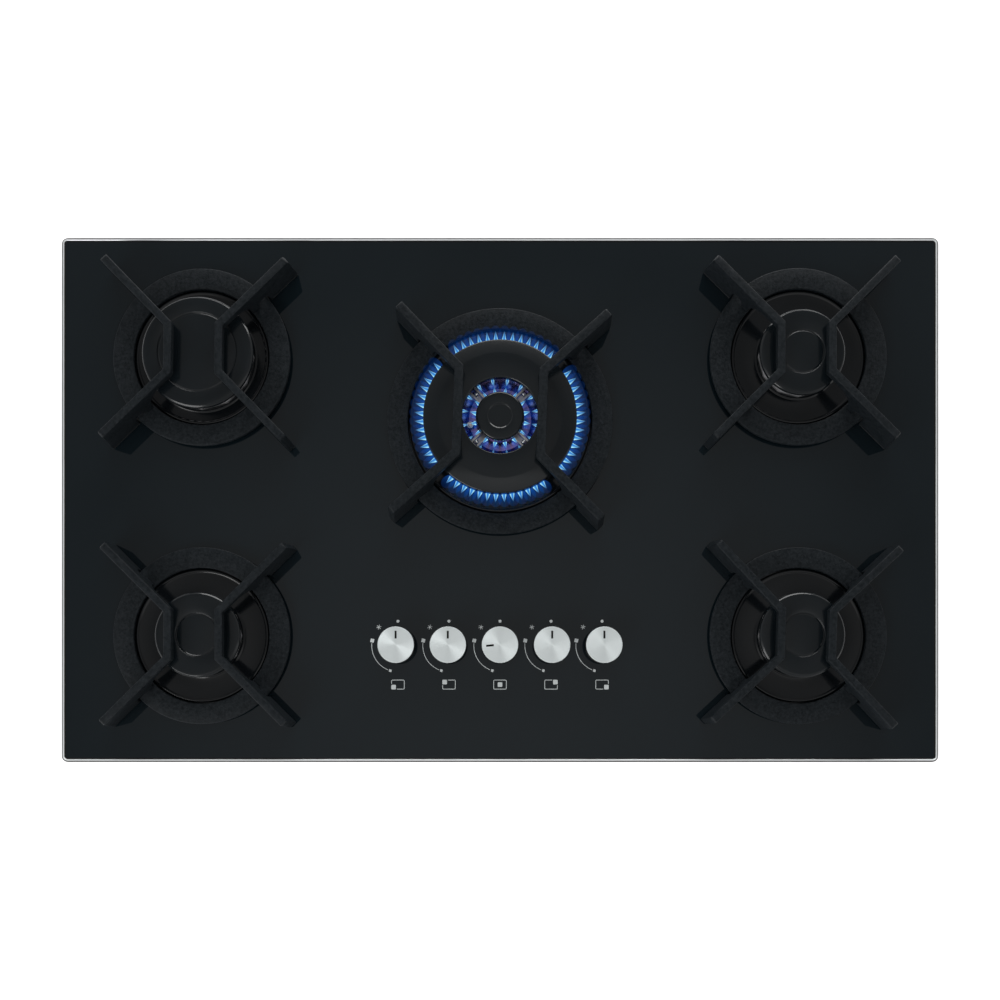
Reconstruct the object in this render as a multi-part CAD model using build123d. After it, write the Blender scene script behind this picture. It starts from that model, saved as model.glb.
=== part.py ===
from build123d import *

import os
from math import atan2, cos, degrees, hypot, pi, radians, sin, tan

# Built-in gas cooktop: five burners on one sheet of tempered glass over a steel tray.
# Millimetres, +Z up, +X to the user's right, +Y to the rear.
# The origin is under the middle of the panel, at the bottom of the tray.

# ---------------------------------------------------------------- panel
PANEL_W, PANEL_D, PANEL_CORNER = 870.0, 520.0, 6.0
GLASS_TOP, GLASS_T = 64.0, 6.0
GLASS_LOW = GLASS_TOP - GLASS_T
GLASS_INSET, GLASS_CORNER_CUT = 1.5, 4.0
TRIM_WALL, TRIM_LIP, TRIM_FOOT = 1.4, 2.6, 9.0
TRIM_PROUD, TRIM_FOOT_T, TRIM_CHAMFER = 0.8, 1.2, 0.4
TRIM_LOW = GLASS_LOW - 0.2 - TRIM_FOOT_T
SEAL_INSET, SEAL_W, SEAL_T = 2.0, 7.0, 3.2
WORKTOP_SEAT = TRIM_LOW - SEAL_T

# ---------------------------------------------------------------- tray
TRAY_W, TRAY_D, TRAY_TOP, SHEET = 820.0, 470.0, 57.6, 1.0
VENT_W, VENT_L, VENT_PITCH, VENTS = 6.0, 50.0, 18.0, 4
VENT_PLACES = ((-185, 195), (185, 195), (-185, -195))
BEAD_X, BEAD_W, BEAD_L, BEAD_H = 345.0, 16.0, 330.0, 3.0
BRACKET_X, BRACKET_Y, BRACKET_W, BRACKET_T = 250.0, 150.0, 18.0, 1.5
BRACKET_ARM, BRACKET_LEG = 22.0, 20.0
CLAMP_X, CLAMP_W, CLAMP_T, CLAMP_REACH, CLAMP_H = 280.0, 26.0, 2.0, 20.0, 24.0
WORKTOP_T = 30.0

# ---------------------------------------------------------------- burners
# name: x, y, kind, turn of the loose trivet as it was set down, side that the jets face
BURNERS = {
    "rear_left": (-294.0, 139.5, "rapid", -0.9, 90),
    "rear_right": (294.0, 140.0, "medium", 0.0, -90),
    "front_left": (-294.0, -135.0, "medium", -0.2, 90),
    "front_right": (294.0, -135.0, "medium", -1.9, -90),
    "centre": (0.0, 76.5, "crown", -2.1, 0),
}

SAUCER_T, SAUCER_SLOPE = 4.6, 1.8
SAUCER_R = {"rapid": 65.3, "medium": 65.3, "crown": 88.8}
HOLE_R = {"rapid": 48.0, "medium": 36.0, "crown": 47.0}
CUP_R = {"rapid": 37.0, "medium": 27.0, "crown": 45.0}
CUP_WALL, CUP_FLOOR, CUP_T = 3.0, -22.0, 5.0
FLANGE_R, FLANGE_T = {"rapid": 51.5, "medium": 39.5, "crown": 62.0}, 2.4
HEAD_LOW = SAUCER_T + FLANGE_T
JET_BLOCK, JET_Z, JET_FLAT, JET_L = 46.0, -28.0, 9.0, 8.0
CROWN_JET_X = 12.0
SPARK_R, SPARK_LOW, SPARK_GAP = 2.4, -27.0, 1.5
SPARK_TURN = {"rapid": 110.0, "medium": 110.0, "crown": 192.0}
SPARK_AT = {"rapid": 44.0, "medium": 32.0, "crown": 29.8}
SPARK_TOP = {"rapid": 13.4, "medium": 13.4, "crown": 17.6}

HEAD_R, PORTS = {"rapid": 50.0, "medium": 38.0}, {"rapid": 18, "medium": 14}
HEAD_TOP, PORT_W, PORT_DEEP, PORT_FLOOR = 15.4, 2.6, 5.0, 2.0
SPIGOT_FIT, SPIGOT_WALL, SPIGOT_L = 0.8, 3.0, 8.0
CAP_R, CAP_DISC_R = {"rapid": 54.0, "medium": 41.5}, {"rapid": 37.5, "medium": 19.0}
CAP_SHOULDER, CAP_TOP, CAP_SLOPE, CAP_SINK = 18.6, 21.0, 3.4, 0.9

CROWN_R, CROWN_BORE, CROWN_TOP, CROWN_PORTS = 71.5, 39.0, 20.0, 30
CORE_R, CORE_TOP, CORE_PORTS, CROWN_FLOOR = 21.5, 19.0, 10, 3.0
BRIDGE_W, BRIDGE_TOP = 9.0, 17.0
RING_CAP_R, RING_CAP_FLAT_R, RING_CAP_BORE = 74.5, 59.5, 36.5
RING_CAP_EDGE, RING_CAP_TOP = 22.8, 26.5
CORE_CAP_R, CORE_CAP_DISC_R, CORE_CAP_TOP, CORE_CAP_SLOPE = 23.5, 11.8, 25.4, 1.8

# ---------------------------------------------------------------- trivets
ARM_W, ARM_TOP = {"corner": 7.5, "centre": 8.5}, {"corner": 33.0, "centre": 40.0}
BAR_DEEP, ARM_CHAMFER, TIP_CHAMFER = 8.0, 0.7, 1.5
RING_R, RING_W, RING_LOW, RING_TOP = {"corner": 87.2, "centre": 111.3}, 20.5, 3.0, 7.0
BEND = {"corner": (24.4, 22.6), "centre": (40.3, 40.3)}
TIP = {"corner": (87.5, 85.5), "centre": (100.5, 98.0)}
POST_W, POST_SET, ARCH_Z, ARCH_RISE, SWEEP = 8.5, 1.0, 9.0, 5.5, 17.0
FOOT_FLARE, FOOT_GAP, FOOT_LIP, PAD_T, PAD_INSET = 3.5, 2.0, 3.0, 1.0, 0.5

# ---------------------------------------------------------------- knobs and taps
KNOBS = ("front_left", "rear_left", "centre", "rear_right", "front_right")
KNOB_PITCH, KNOB_Y = 50.65, -144.5
KNOB_R, KNOB_LOW, KNOB_TOP, KNOB_CHAMFER = 17.7, 3.6, 20.0, 1.0
POINTER_W, POINTER_DEEP, POINTER_FROM, POINTER_TO = 1.5, 0.6, 6.0, 13.5
CENTRE_KNOB_TURN = 95.0
SPINDLE_HOLE_R = 6.5
STEM_R, STEM_FLAT, STEM_FIT, STEM_TOP, STEM_LOW = 3.0, 2.0, 0.05, 14.0, -11.6
BLADE_T, BLADE_W, BLADE_LOW = 2.2, 4.8, -22.5
PLUG_R, PLUG_FIT, PLUG_LOW, PLUG_TOP = 4.5, 0.05, -38.0, -15.0
SLOT_W, SLOT_LOW = 2.4, -27.0
TAP_W, TAP_D, TAP_LOW, TAP_TOP, TAP_SHOULDER, TAP_LAND = 24.0, 26.0, -58.0, -11.0, -20.0, 8.0
NECK, NECK_L, PAIR_NECK = 10.0, 8.0, 18.0
SWITCH_Y, SWITCH_W, SWITCH_D, SWITCH_H = 4.6, 18.0, 11.0, 4.5
STRIP_SET, STRIP_H = 5.0, 3.0

# ---------------------------------------------------------------- gas and spark
RAIL_R, RAIL_Y, RAIL_Z, RAIL_END_X, RAIL_EASE = 7.0, -174.0, 12.6, -130.0, 30.0
RAIL_FEET_X, RAIL_FOOT_W, RAIL_FOOT_D, STRAP_T = (-120.0, 120.0, 240.0), 14.0, 12.0, 1.5
INLET_X, INLET_R, INLET_NECK_R, INLET_BORE_R, WALL_FIT = 372.0, 10.48, 10.8, 6.0, 0.5
INLET_L, INLET_HEX, INLET_HEX_L = 19.0, 22.8, 13.0
PIPE_R, PIPE_EASE, PIPE_LEAD = 3.0, 10.0, 50.0
MODULE_X, MODULE_Y, MODULE_W, MODULE_D, MODULE_H = -160.0, 180.0, 62.0, 40.0, 25.0
LEADS = ("rear_left", "front_left", "front_right", "centre", "rear_right")
LEAD_R, LEAD_Z, LEAD_PORT_Z, LEAD_PITCH, LEAD_STEP = 1.4, 6.0, 12.0, 11.0, 8.0
GLAND_X, GLAND_Z, GLAND_R, GLAND_NUT_R, GLAND_BORE_R = 250.0, 12.6, 6.0, 9.0, 3.5
GLAND_IN, GLAND_OUT = 6.0, 9.0

# Flats on the round forms that are drawn in many copies.
RING_FLATS, SAUCER_FLATS, HOLE_FLATS, CAP_FLATS, KNOB_FLATS = 28, 20, 16, 24, 20
CUP_FLATS, SMALL_FLATS = 12, 12

BOTTOM = (Align.CENTER, Align.CENTER, Align.MIN)


def block(x0, x1, y0, y1, z0, z1):
    """A box between two corners."""
    return Pos(x0, y0, z0) * Box(x1 - x0, y1 - y0, z1 - z0, align=(Align.MIN,) * 3)


def bar(r, sides, z0, z1):
    """An upright bar of many sides, r to its corners."""
    return Pos(0, 0, z0) * extrude(RegularPolygon(r, sides), z1 - z0)


def turned(sides, *section):
    """A turned form with flats, from its closed half section of (radius, height) points."""
    def corner(r, z, k):
        return (r * cos(2 * pi * k / sides), r * sin(2 * pi * k / sides), z)

    faces = []
    for (r0, z0), (r1, z1) in zip(section, section[1:] + section[:1]):
        if z0 == z1:
            rims = [r for r in sorted((r0, r1)) if r > 0]
            loops = [Wire.make_polygon([corner(r, z0, k) for k in range(sides)]) for r in rims]
            faces.append(Face(loops[-1], loops[:-1]))
        elif r0 + r1 > 0:
            for k in range(sides):
                flat = [corner(r0, z0, k), corner(r0, z0, k + 1), corner(r1, z1, k + 1),
                        corner(r1, z1, k)]
                faces.append(Face(Wire.make_polygon(flat)))
    return Solid(Shell(faces))


def around(shape, count, start=0.0):
    """Copies of a shape in equal turns about the Z axis."""
    return [Rot(0, 0, start + 360.0 * k / count) * shape for k in range(count)]


def bend_in_steps(points, cut):
    """A route with each corner replaced by a short straight step, as pipes bend."""
    eased = [Vector(*points[0])]
    for before, at, after in zip(points, points[1:], points[2:]):
        at = Vector(*at)
        eased.append(at + (Vector(*before) - at).normalized() * cut)
        eased.append(at + (Vector(*after) - at).normalized() * cut)
    return eased + [Vector(*points[-1])]


def run_of(section, points):
    """A section carried along a route with mitred corners."""
    path = Polyline(*points)
    start = Plane(origin=path @ 0, z_dir=path % 0)
    return sweep(start * section, path=path, transition=Transition.RIGHT)


def save(name, *solids):
    """Write one sub-part, with several pieces of one kind as separate solids."""
    shape = solids[0] if len(solids) == 1 else Compound(children=list(solids))
    export_step(shape, f"parts/{name}.step")


# ================================================================ panel and tray


def knob_x(i):
    """Where knob i stands along the row."""
    return (i - (len(KNOBS) - 1) / 2) * KNOB_PITCH


def glass_panel():
    """Tempered glass with a hole for each burner and each tap spindle."""
    outline = Rectangle(PANEL_W - 2 * GLASS_INSET, PANEL_D - 2 * GLASS_INSET)
    outline = chamfer(outline.vertices(), GLASS_CORNER_CUT)
    outline -= [Pos(x, y) * RegularPolygon(HOLE_R[kind], HOLE_FLATS)
                for x, y, kind, _, _ in BURNERS.values()]
    outline -= [Pos(knob_x(i), KNOB_Y) * RegularPolygon(SPINDLE_HOLE_R, SMALL_FLATS)
                for i in range(len(KNOBS))]
    return Pos(0, 0, GLASS_LOW) * extrude(outline, GLASS_T)


def border(width, z0, z1, rounded=True):
    """A border along the panel's edge, with rounded or square inner corners."""
    outer = RectangleRounded(PANEL_W, PANEL_D, PANEL_CORNER)
    inner = Rectangle(PANEL_W - 2 * width, PANEL_D - 2 * width)
    if rounded:
        inner = fillet(inner.vertices(), PANEL_CORNER - width)
    return Pos(0, 0, z0) * extrude(outer - inner, z1 - z0)


def edge_trim():
    """Metal frame round the glass: a lip on top, a wall, and a foot turned inward."""
    top = GLASS_TOP + TRIM_PROUD
    trim = border(TRIM_WALL, TRIM_LOW, top) + border(TRIM_LIP, GLASS_TOP, top)
    trim += border(TRIM_FOOT, TRIM_LOW, TRIM_LOW + TRIM_FOOT_T, rounded=False)
    rim = trim.faces().sort_by(Axis.Z)[-1].outer_wire().edges()
    return chamfer(rim, TRIM_CHAMFER)


def worktop_seal():
    """Foam gasket under the trim, on which the whole cooktop rests."""
    outer = Rectangle(PANEL_W - 2 * SEAL_INSET, PANEL_D - 2 * SEAL_INSET)
    inset = SEAL_INSET + SEAL_W
    inner = Rectangle(PANEL_W - 2 * inset, PANEL_D - 2 * inset)
    return Pos(0, 0, WORKTOP_SEAT) * extrude(outer - inner, SEAL_T)


def bottom_tray():
    """Folded steel box under the glass, with vents, stiffening beads and wall holes."""
    tray = Box(TRAY_W, TRAY_D, TRAY_TOP, align=BOTTOM)
    tray -= Pos(0, 0, SHEET) * Box(TRAY_W - 2 * SHEET, TRAY_D - 2 * SHEET, TRAY_TOP, align=BOTTOM)
    vent = Box(VENT_W, VENT_L, SHEET, align=BOTTOM)
    middle = (VENTS - 1) / 2
    tray -= [Pos(x + (k - middle) * VENT_PITCH, y) * vent for x, y in VENT_PLACES
             for k in range(VENTS)]
    half = BEAD_W / 2
    ridge = make_face(Polyline((-half, 0), (half, 0), (half - BEAD_H, BEAD_H),
                               (BEAD_H - half, BEAD_H), close=True))
    bead = extrude(Plane.XZ * ridge, BEAD_L / 2, both=True)
    tray += [Pos(x, 0, SHEET) * bead for x in (-BEAD_X, BEAD_X)]
    wall = Plane(origin=(0, TRAY_D / 2 - SHEET, 0), x_dir=(1, 0, 0), z_dir=(0, 1, 0))
    inlet = Pos(INLET_X, -RAIL_Z) * RegularPolygon(INLET_NECK_R + WALL_FIT, SMALL_FLATS)
    gland = Pos(GLAND_X, -GLAND_Z) * RegularPolygon(GLAND_R + WALL_FIT, SMALL_FLATS)
    return tray - extrude(wall * (inlet + gland), SHEET)


def glass_brackets():
    """Angle brackets bonded under the glass, to which the tray walls are screwed."""
    angle = make_face(Polyline((0, 0), (BRACKET_ARM, 0), (BRACKET_ARM, -BRACKET_T),
                               (BRACKET_T, -BRACKET_T), (BRACKET_T, -BRACKET_LEG),
                               (0, -BRACKET_LEG), close=True))
    bracket = extrude(Plane.XZ * angle, BRACKET_W / 2, both=True)
    wall_x, wall_y = TRAY_W / 2 - SHEET, TRAY_D / 2 - SHEET
    places = [(side * wall_x, y, 90 + side * 90) for side in (-1, 1)
              for y in (-BRACKET_Y, BRACKET_Y)]
    places += [(x, side * wall_y, -side * 90) for side in (-1, 1)
               for x in (-BRACKET_X, BRACKET_X)]
    return [Pos(x, y, GLASS_LOW) * Rot(0, 0, turn) * bracket for x, y, turn in places]


def worktop_clamps():
    """Angled steel clamps on the tray walls, whose arms bear up against the worktop."""
    wall, arm = TRAY_D / 2, WORKTOP_SEAT - WORKTOP_T
    side = make_face(Polyline((wall, arm + CLAMP_H), (wall, arm - CLAMP_T),
                              (wall + CLAMP_REACH, arm - CLAMP_T), (wall + CLAMP_REACH, arm),
                              (wall + CLAMP_T, arm), (wall + CLAMP_T, arm + CLAMP_H), close=True))
    clamp = extrude(Plane.YZ * side, CLAMP_W / 2, both=True)
    rear = [Pos(x, 0, 0) * clamp for x in (-CLAMP_X, CLAMP_X)]
    return rear + [mirror(piece, about=Plane.XZ) for piece in rear]


# ================================================================ burners


def on_glass(name):
    """The place of a burner on the glass."""
    x, y, *_ = BURNERS[name]
    return Pos(x, y, GLASS_TOP)


def spark_place(kind):
    """The place of a burner's electrode, from the burner's axis."""
    return Rot(0, 0, SPARK_TURN[kind]) * Pos(SPARK_AT[kind], 0, 0)


def burner_saucer(kind):
    """Enamelled plate that lies on the glass inside a trivet's ring."""
    r = SAUCER_R[kind]
    return turned(SAUCER_FLATS, (HOLE_R[kind], 0), (r, 0), (r - SAUCER_SLOPE, SAUCER_T),
                  (HOLE_R[kind], SAUCER_T))


def burner_cup(kind, jet_turn):
    """Cast cup that hangs by its flange through the glass, with a block below for its jets."""
    r, flange = CUP_R[kind], FLANGE_R[kind]
    cup = turned(CUP_FLATS, (0, CUP_FLOOR), (r, CUP_FLOOR), (r, SAUCER_T), (flange, SAUCER_T),
                 (flange, HEAD_LOW), (r - CUP_WALL, HEAD_LOW), (r - CUP_WALL, CUP_FLOOR + CUP_T),
                 (0, CUP_FLOOR + CUP_T))
    half = JET_BLOCK / 2
    low = 2 * JET_Z - CUP_FLOOR
    cup += Rot(0, 0, jet_turn) * block(-half, half, -half, half, low, CUP_FLOOR)
    return cup - spark_place(kind) * bar(SPARK_R, 8, CUP_FLOOR, HEAD_LOW)


def jet_places(kind):
    """Where the jets of a burner sit along the front of their block."""
    return (-CROWN_JET_X, CROWN_JET_X) if kind == "crown" else (0.0,)


def gas_injectors():
    """Hexagonal brass holders of the jets, on the fronts of the cups' blocks."""
    front = Plane(origin=(0, -JET_BLOCK / 2, JET_Z), z_dir=(0, -1, 0))
    holder = extrude(front * RegularPolygon(JET_FLAT / 2, 6, major_radius=False), JET_L)
    return [on_glass(name) * Rot(0, 0, jet_turn) * Pos(x, 0, 0) * holder
            for name, (_, _, kind, _, jet_turn) in BURNERS.items() for x in jet_places(kind)]


def spark_electrode(kind):
    """Ceramic rod that stands in the cup's flange, or in the floor of the crown's cup."""
    return spark_place(kind) * bar(SPARK_R, 8, SPARK_LOW, SPARK_TOP[kind])


def ported(r, ports, floor, z0, z1):
    """A drum whose rim is cut by a pattern of gas ports, open at the top."""
    port = block(r * cos(pi / ports) - PORT_DEEP, r + 1, -PORT_W / 2, PORT_W / 2, z0 + floor, z1)
    return bar(r, ports, z0, z1) - around(port, ports)


def burner_head(kind):
    """Cast spreader of a single burner, whose spigot drops into the cup."""
    spigot = CUP_R[kind] - CUP_WALL - SPIGOT_FIT
    head = ported(HEAD_R[kind], PORTS[kind], PORT_FLOOR, HEAD_LOW, HEAD_TOP)
    head += bar(spigot, SMALL_FLATS, HEAD_LOW - SPIGOT_L, HEAD_LOW)
    head -= bar(spigot - SPIGOT_WALL, SMALL_FLATS, HEAD_LOW - SPIGOT_L, HEAD_TOP)
    side = SPARK_R + SPARK_GAP
    return head - spark_place(kind) * block(-side, HEAD_R[kind], -side, side, HEAD_LOW, HEAD_TOP)


def burner_cap(kind):
    """Enamelled lid of a single burner, with a sunk disc in its middle."""
    r, disc = CAP_R[kind], CAP_DISC_R[kind]
    return turned(CAP_FLATS, (0, HEAD_TOP), (r, HEAD_TOP), (r, CAP_SHOULDER),
                  (r - CAP_SLOPE, CAP_TOP), (disc, CAP_TOP), (disc, CAP_TOP - CAP_SINK),
                  (0, CAP_TOP - CAP_SINK))


def crown_head():
    """Cast spreader of the centre burner: an outer ring and a core, joined by four bridges."""
    floor = HEAD_LOW + CROWN_FLOOR
    head = ported(CROWN_R, CROWN_PORTS, CROWN_FLOOR, HEAD_LOW, CROWN_TOP)
    head -= bar(CROWN_BORE, RING_FLATS, floor, CROWN_TOP)
    head += ported(CORE_R, CORE_PORTS, CROWN_FLOOR, floor, CORE_TOP)
    bridge = block(CORE_R - PORT_DEEP - 1, CROWN_BORE + 1, -BRIDGE_W / 2, BRIDGE_W / 2, floor,
                   BRIDGE_TOP)
    head += around(bridge, 4, 45)
    return head - spark_place("crown") * bar(SPARK_R + SPARK_GAP, 8, HEAD_LOW, floor)


def crown_ring_cap():
    """Ring-shaped lid over the outer flames of the centre burner."""
    return turned(RING_FLATS, (RING_CAP_BORE, CROWN_TOP), (RING_CAP_R, CROWN_TOP),
                  (RING_CAP_R, RING_CAP_EDGE), (RING_CAP_FLAT_R, RING_CAP_TOP),
                  (RING_CAP_BORE, RING_CAP_TOP))


def crown_core_cap():
    """Small lid over the inner flames of the centre burner."""
    shoulder, sunk = CORE_CAP_TOP - CORE_CAP_SLOPE, CORE_CAP_TOP - CAP_SINK
    return turned(KNOB_FLATS, (0, CORE_TOP), (CORE_CAP_R, CORE_TOP), (CORE_CAP_R, shoulder),
                  (CORE_CAP_R - CORE_CAP_SLOPE, CORE_CAP_TOP), (CORE_CAP_DISC_R, CORE_CAP_TOP),
                  (CORE_CAP_DISC_R, sunk), (0, sunk))


# ================================================================ trivets


def arm_frame(size):
    """The length of an arm, its direction, and how far its mitre runs past the bend."""
    (bx, by), (tx, ty) = BEND[size], TIP[size]
    angle = degrees(atan2(ty - by, tx - bx))
    return hypot(tx - bx, ty - by), angle, ARM_W[size] / 2 * tan(radians(90 - angle) / 2)


def reach(size, radius):
    """How far from its bend an arm crosses a circle about the trivet's axis."""
    bx, by = BEND[size]
    angle = radians(arm_frame(size)[1])
    along = bx * cos(angle) + by * sin(angle)
    return (along**2 - bx**2 - by**2 + radius**2) ** 0.5 - along


def swell(x, z, rx, rz, start, end, steps=3):
    """Points along an elliptical curve in a side view, between two angles in degrees."""
    turns = [radians(start + (end - start) * k / steps) for k in range(steps + 1)]
    return [(x + rx * cos(a), z + rz * sin(a)) for a in turns]


def arm_side(size):
    """Side of an arm: bar, sweep down to a post on the ring, arch over the ring, flared foot."""
    length, _, mitre = arm_frame(size)
    top, seat = ARM_TOP[size], (RING_LOW + RING_TOP) / 2
    post = reach(size, RING_R[size] - RING_W) + POST_SET
    foot = reach(size, RING_R[size]) + FOOT_GAP
    span = (foot - post - POST_W) / 2
    under = swell(post - SWEEP, ARCH_Z, SWEEP, top - BAR_DEEP - ARCH_Z, 90, 0)
    arch = swell(foot - span, ARCH_Z, span, ARCH_RISE, 180, 0)
    return make_face(Polyline(
        (-mitre, top), (-mitre, top - BAR_DEEP), *under, (post, seat), (post + POST_W, seat), *arch,
        (foot, PAD_T), (length + FOOT_FLARE, PAD_T), (length + FOOT_FLARE, PAD_T + FOOT_LIP),
        (length, top - TIP_CHAMFER), (length - TIP_CHAMFER, top), close=True))


def trivet(size):
    """Cast-iron pan support: a flat ring that carries two pairs of arms joined by bars."""
    width, top, (bx, by) = ARM_W[size], ARM_TOP[size], BEND[size]
    _, angle, mitre = arm_frame(size)
    arm = extrude(Plane.XZ * arm_side(size), width / 2, both=True)
    arm = Pos(bx, by, 0) * Rot(0, 0, angle) * arm
    end = by + mitre
    pair = arm + mirror(arm, about=Plane.XZ)
    pair += block(bx - width / 2, bx + width / 2, -end, end, top - BAR_DEEP, top)
    pair = chamfer(pair.faces().sort_by(Axis.Z)[-1].edges(), ARM_CHAMFER)
    r = RING_R[size]
    ring = turned(RING_FLATS, (r - RING_W, RING_LOW), (r, RING_LOW), (r, RING_TOP),
                  (r - RING_W, RING_TOP))
    return ring + pair + mirror(pair, about=Plane.YZ)


def trivet_pads(size):
    """Rubber pads under the four feet of a trivet."""
    length, angle, _ = arm_frame(size)
    half, (bx, by) = ARM_W[size] / 2 - PAD_INSET, BEND[size]
    pad = block(reach(size, RING_R[size]) + FOOT_GAP + PAD_INSET, length + FOOT_FLARE - PAD_INSET,
                -half, half, 0, PAD_T)
    pad = Pos(bx, by, 0) * Rot(0, 0, angle) * pad
    pair = [pad, mirror(pad, about=Plane.XZ)]
    return pair + [mirror(piece, about=Plane.YZ) for piece in pair]


# ================================================================ knobs and taps


def flatted(r, flat, z0, z1):
    """A round bar with one flat, as on a tap's stem."""
    return bar(r, SMALL_FLATS, z0, z1) - block(-r, r, flat, r, z0, z1)


def knob():
    """Turned metal knob with a pointer slot and a bore for the flatted stem."""
    r, edge = KNOB_R, KNOB_R - KNOB_CHAMFER
    body = turned(KNOB_FLATS, (0, KNOB_LOW), (r, KNOB_LOW), (r, KNOB_TOP - KNOB_CHAMFER),
                  (edge, KNOB_TOP), (0, KNOB_TOP))
    body -= flatted(STEM_R + STEM_FIT, STEM_FLAT + STEM_FIT, KNOB_LOW, STEM_TOP)
    return body - block(-POINTER_W / 2, POINTER_W / 2, POINTER_FROM, POINTER_TO,
                        KNOB_TOP - POINTER_DEEP, KNOB_TOP)


def valve_stem():
    """Flatted steel stem, whose blade slides in the plug's slot when the knob is pushed."""
    blade = block(-BLADE_T / 2, BLADE_T / 2, -BLADE_W / 2, BLADE_W / 2, BLADE_LOW, STEM_LOW)
    return flatted(STEM_R, STEM_FLAT, STEM_LOW, STEM_TOP) + blade


def valve_plug():
    """Brass plug of a tap, with the slot for the stem's blade across its top."""
    slot = block(-SLOT_W / 2, SLOT_W / 2, -PLUG_R, PLUG_R, SLOT_LOW, PLUG_TOP)
    return bar(PLUG_R, SMALL_FLATS, PLUG_LOW, PLUG_TOP) - slot


def valve_body(name):
    """Die-cast tap with a neck to the gas rail at the front and a neck to its pipes behind."""
    half, land = TAP_D / 2, TAP_LAND
    side = make_face(Polyline((-half, TAP_LOW), (half, TAP_LOW), (half, TAP_SHOULDER),
                              (land, TAP_TOP), (-land, TAP_TOP), (-half, TAP_SHOULDER),
                              close=True))
    body = extrude(Plane.YZ * side, TAP_W / 2, both=True)
    rail_z, n = RAIL_Z - GLASS_TOP, NECK / 2
    body += block(-n, n, RAIL_Y + RAIL_R - KNOB_Y, -half, rail_z - n, rail_z + n)
    w = (PAIR_NECK if name == "centre" else NECK) / 2
    body += block(-w, w, half, half + NECK_L, JET_Z - n, JET_Z + n)
    bore = Cylinder(PLUG_R + PLUG_FIT, TAP_TOP - PLUG_LOW, align=BOTTOM)
    return body - Pos(0, 0, PLUG_LOW) * bore


def microswitch_strip():
    """Plastic strip along the taps, with one ignition switch beside each stem."""
    back, low, half = SWITCH_Y + SWITCH_D, TAP_TOP, SWITCH_W / 2
    end = knob_x(len(KNOBS) - 1) + half
    strip = block(-end, end, SWITCH_Y + STRIP_SET, back, low, low + STRIP_H)
    strip += [Pos(knob_x(i), 0, 0) * block(-half, half, SWITCH_Y, back, low, low + SWITCH_H)
              for i in range(len(KNOBS))]
    return Pos(0, KNOB_Y, GLASS_TOP) * strip


# ================================================================ gas and spark


def gas_manifold():
    """Gas rail along the front of the taps, led round to the inlet at the rear."""
    end_y = TRAY_D / 2 - SHEET - INLET_HEX_L
    route = [(RAIL_END_X, RAIL_Y, RAIL_Z), (INLET_X, RAIL_Y, RAIL_Z), (INLET_X, end_y, RAIL_Z)]
    section = RegularPolygon(RAIL_R, 8, major_radius=False, rotation=22.5)
    return run_of(section, bend_in_steps(route, RAIL_EASE))


def manifold_brackets():
    """Bent straps that carry the gas rail above the tray's floor."""
    top = RAIL_Z - RAIL_R
    out, inn, foot = RAIL_FOOT_D / 2, RAIL_FOOT_D / 2 - STRAP_T, RAIL_FOOT_D
    half = make_face(Polyline((0, top), (out, top), (out, SHEET + STRAP_T), (foot, SHEET + STRAP_T),
                              (foot, SHEET), (inn, SHEET), (inn, top - STRAP_T), (0, top - STRAP_T),
                              close=True))
    side = half + mirror(half, about=Plane.YZ)
    strap = extrude(Plane.YZ * side, RAIL_FOOT_W / 2, both=True)
    return [Pos(x, RAIL_Y, 0) * strap for x in RAIL_FEET_X]


def gas_inlet():
    """Brass union through the rear wall: a hexagon inside and a male thread outside."""
    wall = Plane(origin=(INLET_X, TRAY_D / 2, RAIL_Z), x_dir=(1, 0, 0), z_dir=(0, 1, 0))
    inside = wall.offset(-SHEET)
    union = extrude(wall * Circle(INLET_R), INLET_L)
    union += extrude(inside * RegularPolygon(INLET_NECK_R, SMALL_FLATS), SHEET)
    union += extrude(inside * RegularPolygon(INLET_HEX / 2, 6, major_radius=False), -INLET_HEX_L)
    return union - extrude(inside * RegularPolygon(INLET_BORE_R, SMALL_FLATS), SHEET + INLET_L)


def supply_pipes():
    """Aluminium pipes from the taps to the jets, one for each ring of flames."""
    start = KNOB_Y + TAP_D / 2 + NECK_L
    ahead = JET_BLOCK / 2 + JET_L
    routes = []
    for i, name in enumerate(KNOBS):
        x, y, kind, _, _ = BURNERS[name]
        if kind == "crown":
            for side in (-1, 1):
                x0, x1 = side * PAIR_NECK / 4, x + side * CROWN_JET_X
                routes.append([(x0, start), (x0, start + 70), (x1, start + 95), (x1, y - ahead)])
        else:
            side = 1 if x > 0 else -1
            meet = x - side * ahead
            turn = start + (16 if y < 0 else 34)
            routes.append([(knob_x(i), start), (knob_x(i), turn), (meet - side * PIPE_LEAD, y),
                           (meet, y)])
    section = RegularPolygon(PIPE_R, 6)
    z = GLASS_TOP + JET_Z
    return [run_of(section, bend_in_steps([(x, y, z) for x, y in route], PIPE_EASE))
            for route in routes]


def ignition_module():
    """Spark generator in a closed plastic housing on the tray's floor."""
    return Pos(MODULE_X, MODULE_Y, SHEET) * Box(MODULE_W, MODULE_D, MODULE_H, align=BOTTOM)


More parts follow.
